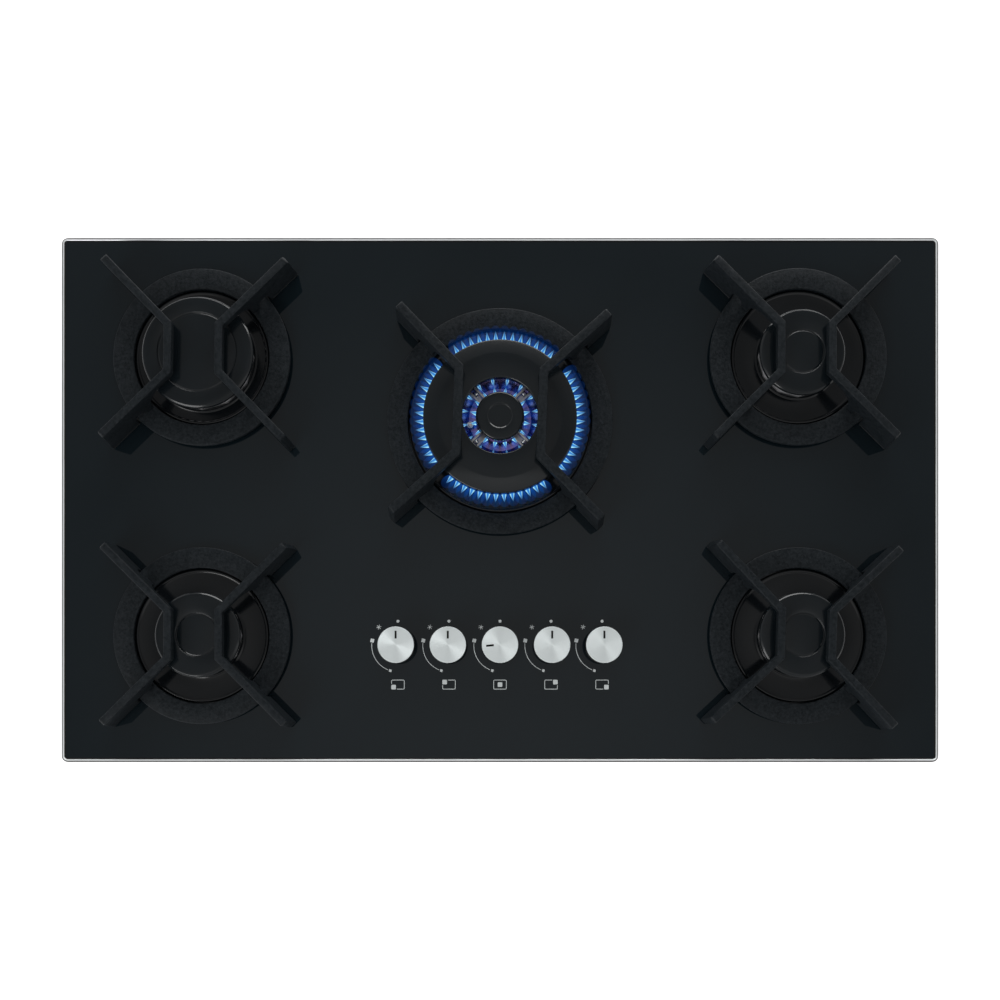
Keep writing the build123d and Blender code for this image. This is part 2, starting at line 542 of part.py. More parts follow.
def ignition_leads():
    """Insulated leads from the spark generator to the five electrodes."""
    face, last = MODULE_Y - MODULE_D / 2, len(LEADS) - 1
    leads = []
    for k, name in enumerate(LEADS):
        x, y, kind, _, _ = BURNERS[name]
        turn = radians(SPARK_TURN[kind])
        ex, ey = x + SPARK_AT[kind] * cos(turn), y + SPARK_AT[kind] * sin(turn)
        px = MODULE_X + (k - last / 2) * LEAD_PITCH
        clear = face - (1 + min(k, last - k)) * LEAD_STEP
        route = [(px, face, LEAD_PORT_Z), (px, clear, LEAD_PORT_Z), (ex, ey, LEAD_Z),
                 (ex, ey, GLASS_TOP + SPARK_LOW)]
        leads.append(run_of(RegularPolygon(LEAD_R, 4), route))
    return leads


def cable_gland():
    """Moulded bushing in the rear wall, where the mains cable comes in."""
    gland = turned(SMALL_FLATS, (0, -GLAND_IN), (GLAND_R, -GLAND_IN), (GLAND_R, 0),
                   (GLAND_NUT_R, 0), (GLAND_NUT_R - 1, GLAND_OUT), (0, GLAND_OUT))
    gland -= Pos(0, 0, -GLAND_IN) * Cylinder(GLAND_BORE_R, GLAND_IN + GLAND_OUT, align=BOTTOM)
    return Plane(origin=(GLAND_X, TRAY_D / 2, GLAND_Z), z_dir=(0, 1, 0)) * gland


# ================================================================ sub-parts

os.makedirs("parts", exist_ok=True)

save("glass_panel", glass_panel())
save("edge_trim", edge_trim())
save("worktop_seal", worktop_seal())
save("bottom_tray", bottom_tray())
save("glass_brackets", *glass_brackets())
save("worktop_clamps", *worktop_clamps())
save("gas_manifold", gas_manifold())
save("manifold_brackets", *manifold_brackets())
save("gas_inlet", gas_inlet())
save("gas_injectors", *gas_injectors())
save("supply_pipes", *supply_pipes())
save("ignition_module", ignition_module())
save("ignition_leads", *ignition_leads())
save("cable_gland", cable_gland())
save("microswitch_strip", microswitch_strip())

save("burner_saucers", *[on_glass(name) * burner_saucer(kind)
                         for name, (_, _, kind, _, _) in BURNERS.items()])
save("burner_cups", *[on_glass(name) * burner_cup(kind, jet_turn)
                      for name, (_, _, kind, _, jet_turn) in BURNERS.items()])
save("spark_electrodes", *[on_glass(name) * spark_electrode(kind)
                           for name, (_, _, kind, _, _) in BURNERS.items()])

for name, (_, _, kind, turn, _) in BURNERS.items():
    size = "centre" if kind == "crown" else "corner"
    seat = on_glass(name) * Rot(0, 0, turn)
    save(f"trivet_{name}", seat * trivet(size))
    save(f"trivet_pads_{name}", *[seat * pad for pad in trivet_pads(size)])
    if kind == "crown":
        save(f"burner_head_{name}", on_glass(name) * crown_head())
        save("crown_ring_cap", on_glass(name) * crown_ring_cap())
        save("crown_core_cap", on_glass(name) * crown_core_cap())
    else:
        save(f"burner_head_{name}", on_glass(name) * burner_head(kind))
        save(f"burner_cap_{name}", on_glass(name) * burner_cap(kind))

save("valve_bodies", *[Pos(knob_x(i), KNOB_Y, GLASS_TOP) * valve_body(name)
                       for i, name in enumerate(KNOBS)])
for i, name in enumerate(KNOBS):
    seat = Pos(knob_x(i), KNOB_Y, GLASS_TOP)
    seat *= Rot(0, 0, CENTRE_KNOB_TURN if name == "centre" else 0.0)
    save(f"knob_{name}", seat * knob())
    save(f"valve_stem_{name}", seat * valve_stem())
    save(f"valve_plug_{name}", seat * valve_plug())
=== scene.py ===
from math import atan2, cos, degrees, hypot, pi, radians, sin

import bmesh
import bpy
from mathutils import Matrix, Vector


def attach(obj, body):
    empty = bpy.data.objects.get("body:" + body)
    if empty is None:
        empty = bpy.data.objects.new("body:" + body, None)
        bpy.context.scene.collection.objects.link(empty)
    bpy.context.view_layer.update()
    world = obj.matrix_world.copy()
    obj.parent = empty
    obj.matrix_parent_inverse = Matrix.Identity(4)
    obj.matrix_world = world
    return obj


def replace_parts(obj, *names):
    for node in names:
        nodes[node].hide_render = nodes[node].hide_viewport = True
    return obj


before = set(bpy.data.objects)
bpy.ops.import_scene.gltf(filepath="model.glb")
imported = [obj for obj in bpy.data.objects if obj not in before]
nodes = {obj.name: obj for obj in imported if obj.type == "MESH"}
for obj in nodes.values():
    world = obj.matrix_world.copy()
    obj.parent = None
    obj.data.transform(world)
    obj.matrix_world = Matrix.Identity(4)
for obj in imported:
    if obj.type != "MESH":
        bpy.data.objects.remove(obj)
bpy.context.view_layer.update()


# ---------------------------------------------------------------- tray
# Box of galvanised sheet steel that hangs under the glass, folded from one blank.
# The sheet shows the spangle of its zinc, and faint lines from the rolls.


class Value:
    """A shader value. Sums and products of values add Math nodes beside its own node."""

    def __init__(self, shading, socket):
        self.shading = shading
        self.socket = socket

    def _math(self, operation, first, second):
        return self.shading.node("Math", {"operation": operation}, {0: first, 1: second})

    def __add__(self, other):
        return self._math("ADD", self, other)

    def __sub__(self, other):
        return self._math("SUBTRACT", self, other)

    def __rsub__(self, other):
        return self._math("SUBTRACT", other, self)

    def __mul__(self, other):
        return self._math("MULTIPLY", self, other)

    def __truediv__(self, other):
        return self._math("DIVIDE", self, other)

    __radd__, __rmul__ = __add__, __mul__


class Shading:
    """The nodes of a finish or of the sky, and the shader that they feed."""

    def __init__(self, owner, shader):
        owner.use_nodes = True
        self.tree = owner.node_tree
        self.shader = self.tree.nodes[shader]

    def feed(self, socket, value):
        """Give one socket of the shader a number, a colour or a shader value."""
        self._give(self.shader.inputs[socket], value)

    def node(self, kind, settings, sockets, out=0):
        """Add a node: its settings first, then the values or links of its sockets."""
        made = self.tree.nodes.new("ShaderNode" + kind)
        for name, value in settings.items():
            if name == "stops":
                ramp = made.color_ramp.elements
                while len(ramp) < len(value):
                    ramp.new(0.5)
                for stop, (at, shade) in zip(ramp, value):
                    stop.position = at
                    stop.color = (*shade, 1.0)
            else:
                setattr(made, name, value)
        for name, value in sockets.items():
            self._give(made.inputs[name], value)
        return Value(self, made.outputs[out])

    def _give(self, socket, value):
        if isinstance(value, Value):
            self.tree.links.new(value.socket, socket)
        else:
            socket.default_value = value


class Finish(Shading):
    """One surface finish: a shader with its constants, and what is fed to it."""

    def __init__(self, name, colour, metal, rough, **constants):
        self.material = bpy.data.materials.new(name)
        super().__init__(self.material, "Principled BSDF")
        self.feed("Base Color", (*colour, 1.0))
        self.feed("Metallic", metal)
        self.feed("Roughness", rough)
        for socket, value in constants.items():
            self.feed(socket.replace("_", " "), value)

    def place(self, x=0.0, y=0.0, z=0.0, stretch=(1.0, 1.0, 1.0)):
        """The place on the object in millimetres from a point."""
        at = self.node("TexCoord", {}, {}, out="Object")
        return self.node("Mapping", {}, {"Vector": at, "Location": (-x, -y, -z),
                                         "Scale": [1000.0 * s for s in stretch]})

    def noise(self, size, detail=3.0, stretch=(1.0, 1.0, 1.0)):
        """Cloudy noise from 0 to 1, whose patches are about that many millimetres."""
        at = self.place(stretch=stretch)
        return self.node("TexNoise", {}, {"Vector": at, "Scale": 1.0 / size, "Detail": detail})

    def between(self, mask, low, high):
        """A colour between two others."""
        return self.node("Mix", {"data_type": "RGBA"}, {0: mask, 6: (*low, 1.0), 7: (*high, 1.0)},
                         out=2)

    def dents(self, height, depth):
        """Feed the shader's normal with a relief of that many millimetres."""
        self.feed("Normal", self.node("Bump", {}, {"Height": height, "Distance": depth / 1000.0,
                                                   "Strength": 1.0}))


def grained(name, colour, metal, rough, grain, depth, tint=0.12, spread=0.08, stretch=(1, 1, 1),
            **constants):
    """A finish whose colour, sheen and relief vary with one grain."""
    finish = Finish(name, colour, metal, rough, **constants)
    cloud = finish.noise(grain * 14, 2.0, stretch)
    fine = finish.noise(grain, 3.0, stretch)
    finish.feed("Base Color", finish.between(cloud * 0.6 + fine * 0.4,
                                             [c * (1 - tint) for c in colour],
                                             [min(1.0, c * (1 + tint)) for c in colour]))
    finish.feed("Roughness", (cloud * 0.5 + fine * 0.5) * (2 * spread) + (rough - spread))
    finish.dents(fine, depth)
    return finish


def dress(finish, *names):
    """Give CAD nodes a finish."""
    for name in names:
        nodes[name].data.materials.clear()
        nodes[name].data.materials.append(finish.material)


galvanised = Finish("galvanised_sheet", (0.55, 0.57, 0.58), 1.0, 0.38)
spangle = galvanised.node("TexVoronoi", {"feature": "F1"},
                          {"Vector": galvanised.place(), "Scale": 1 / 9.0, "Randomness": 1.0},
                          out="Color")
spangle = galvanised.node("RGBToBW", {}, {"Color": spangle})
rolled = galvanised.noise(0.8, 2.0, (0.02, 1.0, 1.0))
galvanised.feed("Base Color", galvanised.between(spangle, (0.44, 0.46, 0.48), (0.62, 0.64, 0.65)))
galvanised.feed("Roughness", spangle * 0.2 + rolled * 0.12 + 0.24)
galvanised.dents(rolled, 0.01)
dress(galvanised, "bottom_tray")

# ---------------------------------------------------------------- brackets and clamps
# Zinc-plated steel angles: eight bonded under the glass, and four clamps that hold the
# cooktop in the worktop. Pan-head screws with a cross hold both to the tray's walls.

zinc = grained("zinc_plate", (0.62, 0.63, 0.62), 1.0, 0.33, 0.6, 0.006, spread=0.1)
dress(zinc, "glass_brackets", "worktop_clamps", "manifold_brackets")

TRAY_X, TRAY_Y = 410.0, 235.0
TRAY_SCREW_Z, TRAY_SCREW_X, TRAY_SCREW_Y = 47.0, 250, 150
CLAMP_SCREW_Z, CLAMP_SCREW_X, CLAMP_T = 36.0, 280, 2
SCREW_R, SCREW_H, SCREW_FLAT = 4.2, 2.6, 2.6
RECESS_L, RECESS_W, RECESS_DEEP = 4.4, 1.0, 1.2


def turned(section, steps=96, closed=False):
    """A shape turned about the Z axis from a half section of (radius, height) points."""
    made = bmesh.new()
    points = [made.verts.new((r, 0.0, z)) for r, z in section]
    edges = [made.edges.new(pair) for pair in zip(points, points[1:])]
    if closed:
        edges.append(made.edges.new((points[-1], points[0])))
    bmesh.ops.spin(made, geom=points + edges, cent=(0, 0, 0), axis=(0, 0, 1), angle=2 * pi,
                   steps=steps, use_merge=True)
    bmesh.ops.remove_doubles(made, verts=made.verts, dist=1e-4)
    bmesh.ops.recalc_face_normals(made, faces=made.faces)
    return made


def soften(made, size, segments=2, sharper=30.0):
    """Round the edges that are sharper than an angle."""
    edges = [e for e in made.edges
             if len(e.link_faces) == 2 and e.calc_face_angle() > radians(sharper)]
    bmesh.ops.bevel(made, geom=edges, offset=size, segments=segments, profile=0.5,
                    affect="EDGES", material=-1, clamp_overlap=True)


def put(made, x=0.0, y=0.0, z=0.0, turn=0.0, tilt=None):
    """Tilt a shape by a matrix, turn it about Z, and move it."""
    if tilt is not None:
        bmesh.ops.transform(made, matrix=tilt, verts=made.verts)
    bmesh.ops.rotate(made, verts=made.verts, cent=(0, 0, 0),
                     matrix=Matrix.Rotation(radians(turn), 3, "Z"))
    bmesh.ops.translate(made, verts=made.verts, vec=(x, y, z))
    return made


def gather(shapes):
    """Several shapes as one."""
    whole = bmesh.new()
    for shape in shapes:
        loose = bpy.data.meshes.new("loose")
        shape.to_mesh(loose)
        shape.free()
        whole.from_mesh(loose)
        bpy.data.meshes.remove(loose)
    return whole


def piece(name, made, body, slot, *finishes):
    """A finished piece from a shape in millimetres, riding on a body."""
    bmesh.ops.scale(made, vec=(0.001,) * 3, verts=made.verts)
    mesh = bpy.data.meshes.new(name)
    made.to_mesh(mesh)
    made.free()
    for finish in finishes:
        mesh.materials.append(finish.material)
    mesh.shade_smooth()
    mesh.set_sharp_from_angle(angle=radians(38))
    thing = bpy.data.objects.new(name, mesh)
    bpy.context.scene.collection.objects.link(thing)
    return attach(thing, body)


def block(x0, x1, y0, y1, z0, z1):
    """A plain block between two corners, to be cut or rounded."""
    made = bmesh.new()
    bmesh.ops.create_cube(made, size=1.0)
    bmesh.ops.scale(made, vec=(x1 - x0, y1 - y0, z1 - z0), verts=made.verts)
    return put(made, (x0 + x1) / 2, (y0 + y1) / 2, (z0 + z1) / 2)


def screw():
    """A pan-head screw that stands on the XY plane, with a cross of near-black bars on its head as
    painted shade for its recess.
    """
    head = turned([(0, 0), (SCREW_R, 0), (SCREW_R, 0.8), (SCREW_FLAT + 0.8, SCREW_H - 0.4),
                   (SCREW_FLAT, SCREW_H), (0, SCREW_H)], 24)
    soften(head, 0.25, 1)
    bars = [block(-RECESS_L / 2, RECESS_L / 2, -RECESS_W / 2, RECESS_W / 2,
                  SCREW_H - RECESS_DEEP, SCREW_H + 0.03) for _ in range(2)]
    put(bars[1], turn=90)
    for bar in bars:
        for face in bar.faces:
            face.material_index = 1
    return gather([head, *bars])


out_y = Matrix.Rotation(radians(-90), 4, "X")
# Near-black metal for the screws' cross: painted shade where a recess would be, not a cut.
painted_recess_shade = Finish("screw_recess_painted_shade", (0.03, 0.03, 0.03), 1.0, 0.6)
painted_recess_shade.feed("Roughness", painted_recess_shade.noise(0.3) * 0.3 + 0.4)
wall_screws = [(side * TRAY_X, y, TRAY_SCREW_Z, -side * 90)
               for side in (-1, 1) for y in (-TRAY_SCREW_Y, TRAY_SCREW_Y)]
wall_screws += [(x, side * TRAY_Y, TRAY_SCREW_Z, 90 - side * 90)
                for side in (-1, 1) for x in (-TRAY_SCREW_X, TRAY_SCREW_X)]
clamp_screws = [(x, side * (TRAY_Y + CLAMP_T), CLAMP_SCREW_Z, 90 - side * 90)
                for side in (-1, 1) for x in (-CLAMP_SCREW_X, CLAMP_SCREW_X)]
for name, spots in (("tray_screws", wall_screws), ("clamp_screws", clamp_screws)):
    piece(name, gather([put(screw(), x, y, z, turn, out_y) for x, y, z, turn in spots]),
          "base", "zinc_steel", zinc, painted_recess_shade)

# ---------------------------------------------------------------- worktop seal
# Closed-cell foam strip under the rim, cut from sheet and stuck on. It keeps spills out of
# the gap between the glass and the worktop.

foam = grained("seal_foam", (0.045, 0.045, 0.048), 0.0, 0.9, 0.5, 0.12, spread=0.05)
dress(foam, "worktop_seal")

# ---------------------------------------------------------------- gas and spark parts
# Inside the tray: a plated steel rail, die-cast taps with brass plugs, aluminium pipes and
# brass jets, with the spark generator, its leads and the switches along the taps.

plated = grained("rail_plating", (0.46, 0.47, 0.48), 1.0, 0.36, 0.7, 0.008)
brass = grained("turned_brass", (0.72, 0.55, 0.26), 1.0, 0.28, 0.4, 0.004)
cast_alloy = grained("as_cast_alloy", (0.5, 0.5, 0.51), 1.0, 0.5, 0.5, 0.05, spread=0.1)
drawn_alloy = grained("drawn_alloy", (0.74, 0.75, 0.76), 1.0, 0.25, 0.5, 0.004)
turned_steel = grained("turned_steel", (0.6, 0.6, 0.61), 1.0, 0.26, 0.3, 0.003)
black_moulding = grained("black_moulding", (0.028, 0.028, 0.03), 0.0, 0.5, 0.35, 0.02)
pale_moulding = grained("pale_moulding", (0.78, 0.77, 0.74), 0.0, 0.45, 0.35, 0.02, tint=0.03)
lead_sleeve = grained("lead_sleeve", (0.72, 0.7, 0.66), 0.0, 0.42, 0.4, 0.01, tint=0.05)
pad_rubber = grained("pad_rubber", (0.035, 0.035, 0.035), 0.0, 0.75, 0.4, 0.03)

TAPS = ("front_left", "rear_left", "centre", "rear_right", "front_right")
dress(plated, "gas_manifold")
dress(brass, "gas_injectors", *[f"valve_plug_{name}" for name in TAPS])
dress(cast_alloy, "valve_bodies", "burner_cups")
dress(drawn_alloy, "supply_pipes")
dress(turned_steel, *[f"valve_stem_{name}" for name in TAPS])
dress(black_moulding, "ignition_module")
dress(pale_moulding, "microswitch_strip")
dress(lead_sleeve, "ignition_leads")

# ---------------------------------------------------------------- gas inlet and cable gland
# A brass union through the rear wall, with a cut pipe thread outside and a hexagon inside,
# and a moulded bushing for the mains cable with a ribbed grip.

INLET_AT, INLET_R, INLET_ROOT, INLET_BORE = (372.0, 235.0, 12.6), 10.48, 9.5, 6.0
INLET_L, THREAD_PITCH, INLET_NECK_R, HEX_FLAT, HEX_L = 19.0, 1.8, 10.8, 22.8, 13.0
turns = int((INLET_L - 2.0) / THREAD_PITCH)
thread = [(INLET_BORE, -1.0), (INLET_NECK_R, -1.0), (INLET_NECK_R, 0.0), (INLET_ROOT, 0.05)]
for k in range(turns):
    low = 1.0 + k * THREAD_PITCH
    thread += [(INLET_ROOT, low), (INLET_R, low + 0.45 * THREAD_PITCH),
               (INLET_R, low + 0.6 * THREAD_PITCH)]
thread += [(INLET_ROOT, INLET_L - 0.8), (INLET_ROOT - 0.6, INLET_L), (INLET_BORE, INLET_L)]
hexagon = bmesh.new()
bmesh.ops.create_cone(hexagon, cap_ends=True, segments=6, radius1=HEX_FLAT / 2 / cos(pi / 6),
                      radius2=HEX_FLAT / 2 / cos(pi / 6), depth=HEX_L)
soften(hexagon, 0.6)
put(hexagon, z=-1.0 - HEX_L / 2, turn=30)
union = put(gather([turned(thread, 64, closed=True), hexagon]), *INLET_AT, 0.0, out_y)
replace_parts(piece("gas_union", union, "base", "brass", brass), "gas_inlet")

GLAND_AT, GLAND_BORE, GLAND_NUT, GLAND_OUT = (250.0, 235.0, 12.6), 3.5, 9.0, 9.0
GRIP_H = 0.5
gland = turned([(GLAND_BORE, -6), (6.0, -6), (6.0, 0), (GLAND_NUT, 0), (GLAND_NUT, 1.5),
                (GLAND_NUT - 0.7, 2.2), (GLAND_NUT - 0.7, 6.5), (GLAND_NUT - 1.6, GLAND_OUT - 0.6),
                (GLAND_NUT - 2.2, GLAND_OUT), (GLAND_BORE, GLAND_OUT)], 48, closed=True)
grips = [f for f in gland.faces if 2.3 < f.calc_center_median().z < 6.4
         and f.calc_center_median().xy.length > GLAND_NUT - 1.2]
grips.sort(key=lambda f: atan2(f.calc_center_median().y, f.calc_center_median().x))
for face in bmesh.ops.extrude_discrete_faces(gland, faces=grips[::2])["faces"]:
    bmesh.ops.translate(gland, verts=face.verts, vec=face.normal * GRIP_H)
put(gland, *GLAND_AT, 0.0, out_y)
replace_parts(piece("cable_bushing", gland, "base", "black_plastic", black_moulding), "cable_gland")

# ---------------------------------------------------------------- glass
# Tempered black glass, 6 mm thick, polished flat. Its underside is coated black, so that
# it looks deep, with only the faintest green in the body.

glass = Finish("black_glass", (0.0040, 0.0078, 0.0104), 0.0, 0.035, IOR=1.5)
glass.feed("Specular IOR Level", 0.42)
haze = glass.noise(90.0, 2.0)
glass.feed("Roughness", haze * 0.02 + glass.noise(1.5, 2.0) * 0.012 + 0.02)
glass.feed("Base Color", glass.between(haze, (0.0034, 0.0070, 0.0095), (0.0046, 0.0086, 0.0113)))
dress(glass, "glass_panel")

# ---------------------------------------------------------------- printed marks
# Pale grey ceramic ink, screen-printed and fired on the glass: round each knob a ring for
# off, a spark, two squares joined by an arc, and below it a sketch of the burner it turns.

GLASS_TOP, INK_T = 64.0, 0.03
KNOB_PITCH, KNOB_Y, MARK_R, OFF_R, INK_LINE = 50.65, -144.5, 26.0, 24.2, 0.55
FULL, LOW, OFF_RING, OFF_LINE, SPARK_L, SPARK_W, SPARK_LIFT = 3.7, 2.5, 0.75, 1.5, 4.9, 0.48, 0.002
FULL_TURN, LOW_TURN, SPARK_TURN, ARC_FROM, ARC_TO = 79, 163, 46, 84.5, 158.0
ICON_Y, ICON_W, ICON_D, ICON_LINE, SPOT, SPOT_GAP = -183.2, 13.2, 9.6, 0.62, 4.6, 0.9
SPOT_SIDE = {"front_left": (-1, -1), "rear_left": (-1, 1), "centre": (0, 0),
             "rear_right": (1, 1), "front_right": (1, -1)}

ink = grained("fired_ink", (0.66, 0.7, 0.7), 0.0, 0.55, 0.2, 0.004, tint=0.08)


def knob_x(name):
    """Where a knob stands along the row."""
    return (TAPS.index(name) - 2) * KNOB_PITCH


def patch(width, depth, corner):
    """A flat rectangle with rounded corners."""
    made = bmesh.new()
    bmesh.ops.create_grid(made, x_segments=1, y_segments=1, size=0.5)
    bmesh.ops.scale(made, vec=(width, depth, 1), verts=made.verts)
    bmesh.ops.bevel(made, geom=made.verts[:], offset=corner, segments=4, profile=0.5,
                    affect="VERTICES", material=-1)
    return made


def arc(radius, line, start, end, steps):
    """A flat line along a circle, between two angles from the rear, anticlockwise."""
    made = bmesh.new()
    ends = [made.verts.new((0.0, radius + side * line / 2, 0.0)) for side in (-1, 1)]
    edge = made.edges.new(ends)
    bmesh.ops.spin(made, geom=ends + [edge], cent=(0, 0, 0), axis=(0, 0, 1),
                   angle=radians(end - start), steps=steps, use_merge=end - start >= 360)
    return put(made, turn=start)


def burner_sketch(name):
    """An outline of the panel, open where a spot stands for the burner."""
    side_x, side_y = SPOT_SIDE[name]
    outline = patch(ICON_W, ICON_D, 1.3)
    rims = bmesh.ops.inset_region(outline, faces=outline.faces[:], thickness=ICON_LINE,
                                  use_even_offset=True, use_boundary=True)["faces"]
    inner = [f for f in outline.faces if f not in rims]
    bmesh.ops.delete(outline, geom=inner, context="FACES")
    spot_x, spot_y = side_x * (ICON_W - SPOT) / 2, side_y * (ICON_D - SPOT) / 2
    if side_x:
        reach = SPOT / 2 + SPOT_GAP
        for way, at in ((Vector((1, 0, 0)), spot_x), (Vector((0, 1, 0)), spot_y)):
            for edge in (-reach, reach):
                bmesh.ops.bisect_plane(outline, geom=outline.verts[:] + outline.edges[:]
                                       + outline.faces[:], plane_co=way * (at + edge),
                                       plane_no=way)
        near = [f for f in outline.faces
                if abs(f.calc_center_median().x - spot_x) < reach
                and abs(f.calc_center_median().y - spot_y) < reach]
        bmesh.ops.delete(outline, geom=near, context="FACES")
    return [outline, put(patch(SPOT, SPOT, 0.8), spot_x, spot_y)]


prints = []
for name in TAPS:
    marks = [put(arc(OFF_RING, OFF_LINE, 0, 360, 20), 0, OFF_R),
             put(put(patch(FULL, FULL, 0.5), 0, MARK_R), turn=FULL_TURN),
             put(put(patch(LOW, LOW, 0.3), 0, MARK_R), turn=LOW_TURN),
             arc(MARK_R, INK_LINE, ARC_FROM, ARC_TO, 28)]
    marks += [put(put(patch(SPARK_L, SPARK_W, 0.1), turn=30 + 60 * k), 0, MARK_R + 0.4,
                  SPARK_LIFT * k) for k in range(3)]
    for mark in marks[-3:]:
        put(mark, turn=SPARK_TURN)
    prints += [put(mark, knob_x(name), KNOB_Y) for mark in marks]
    prints += [put(mark, knob_x(name), ICON_Y) for mark in burner_sketch(name)]
prints = gather(prints)
printed = bmesh.ops.extrude_face_region(prints, geom=prints.faces[:], use_keep_orig=True)["geom"]
bmesh.ops.translate(prints, verts=[v for v in printed if isinstance(v, bmesh.types.BMVert)],
                    vec=(0, 0, INK_T))
bmesh.ops.recalc_face_normals(prints, faces=prints.faces)
put(prints, z=GLASS_TOP)
piece("printed_marks", prints, "base", None, ink)

# ---------------------------------------------------------------- edge trim
# Extruded aluminium frame round the glass, anodised and brushed along its length. Black sealant
# fills the step round its outer edge, where its black is painted shade for a shadow line. A bead of
# it seals the lip to the glass, and its black is also painted shade at the lip's edge.

PANEL_W, PANEL_D, PANEL_CORNER = 870.0, 520.0, 6.0
# (inset from the panel's edge, height, 0 for metal or 1 for black sealant painted as shade, from
# there to the next)
TRIM_SECTION = ((0.0, 56.6, 0), (0.0, 63.9, 1), (0.25, 64.3, 1), (1.15, 64.35, 0), (1.25, 64.8, 0),
                (2.5, 64.8, 0), (2.75, 64.55, 0), (2.8, 64.02, 0), (1.4, 64.02, 0),
                (1.4, 57.8, 0), (9.0, 57.8, 0), (9.0, 56.6, 0))
BEAD_SECTION = ((2.7, 64.0, 1), (2.7, 64.45, 1), (3.3, 64.32, 1), (4.1, 64.0, 1))

trim = Finish("brushed_trim", (0.88, 0.91, 0.91), 0.5, 0.3)
along_x = trim.noise(0.35, 2.0, (0.01, 1.0, 1.0))
along_y = trim.noise(0.35, 2.0, (1.0, 0.01, 1.0))
brushed = along_x * 0.5 + along_y * 0.5
trim.feed("Base Color", trim.between(brushed, (0.82, 0.85, 0.85), (0.94, 0.97, 0.97)))
trim.feed("Roughness", brushed * 0.2 + 0.22)
trim.dents(brushed, 0.006)
# Near-black sealant whose colour is painted shade: the shadow line round the trim's outer edge and
# at the lip's edge.
painted_shade_sealant = grained("black_sealant_painted_shade", (0.004, 0.004, 0.004), 0.0, 0.55, 0.5, 0.02,
                  Specular_IOR_Level=0.2)


def framed(section):
    """A closed section of (inset, height, slot) points carried round the panel's edge."""
    loops = gather([put(patch(PANEL_W - 2 * inset, PANEL_D - 2 * inset,
                              max(PANEL_CORNER - inset, 0.4)), z=z) for inset, z, _ in section])
    bmesh.ops.delete(loops, geom=loops.faces[:], context="FACES_ONLY")
    each = len(loops.edges) // len(section)
    edges = loops.edges[:]
    rings = [edges[k * each:(k + 1) * each] for k in range(len(section))]
    for one, other, (_, _, slot) in zip(rings, rings[1:] + rings[:1], section):
        for (a, b), (c, d) in zip([e.verts for e in one], [e.verts for e in other]):
            loops.faces.new((a, b, d, c)).material_index = slot
    bmesh.ops.recalc_face_normals(loops, faces=loops.faces)
    return loops


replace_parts(piece("folded_trim", gather([framed(TRIM_SECTION), framed(BEAD_SECTION)]),
                  "base", "trim_metal", trim, painted_shade_sealant), "edge_trim")

# ---------------------------------------------------------------- burner saucers
# Pressed steel plates in glossy black enamel, which lie on the glass inside each trivet's
# ring and collect spills. A low rolled rim runs round the outer edge.

# (x, y, kind of burner, turn of its trivet in degrees)
BURNERS = {"rear_left": (-294.0, 139.5, "rapid", -0.9),
           "rear_right": (294.0, 140.0, "medium", 0.0),
           "front_left": (-294.0, -135.0, "medium", -0.2),
           "front_right": (294.0, -135.0, "medium", -1.9),
           "centre": (0.0, 76.5, "crown", -2.1)}
SAUCER_R = {"rapid": 66.1, "medium": 66.1, "crown": 89.9}
SAUCER_HOLE = {"rapid": 48.0, "medium": 36.0, "crown": 47.0}
SAUCER_T, SAUCER_SINK = 4.6, 0.7


def enamelled(name, colour, rough, orange_peel):
    """Fired enamel: glassy, with a faint ripple and a few dull patches."""
    finish = Finish(name, colour, 0.0, rough, Specular_IOR_Level=0.36)
    ripple = finish.noise(3.5, 2.0)
    patchy = finish.noise(40.0, 2.0)
    finish.feed("Base Color", finish.between(patchy, [0.8 * c for c in colour],
                                             [1.25 * c for c in colour]))
    finish.feed("Roughness", patchy * 0.08 + ripple * 0.03 + (rough - 0.05))
    finish.dents(ripple, orange_peel)
    return finish


saucer_enamel = enamelled("saucer_enamel", (0.0035, 0.0045, 0.0055), 0.12, 0.02)
saucers = []
for x, y, kind, _ in BURNERS.values():
    r, hole = SAUCER_R[kind], SAUCER_HOLE[kind]
    saucer = turned([(hole, 0.0), (r, 0.0), (r, 2.8), (r - 0.6, 4.0), (r - 1.5, SAUCER_T),
                     (r - 2.6, SAUCER_T), (r - 3.8, SAUCER_T - SAUCER_SINK),
                     (hole + 6.0, SAUCER_T - SAUCER_SINK), (hole + 5.0, SAUCER_T),
                     (hole, SAUCER_T)], 128, closed=True)
    soften(saucer, 0.5, 2, 20)
    saucers.append(put(saucer, x, y, GLASS_TOP))
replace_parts(piece("enamelled_saucers", gather(saucers), "base", "black_enamel", saucer_enamel),
            "burner_saucers")

# ---------------------------------------------------------------- spark electrodes
# White glazed ceramic rods with a collar and a steel tip, one to each burner. They are
# fixed under the glass and stand clear in a notch or a hole of their heads.

ceramic = enamelled("glazed_ceramic", (0.76, 0.76, 0.74), 0.16, 0.01)
ROD_LOW, ROD_R, COLLAR_R, TIP_R = -27.0, 2.4, 3.1, 0.45
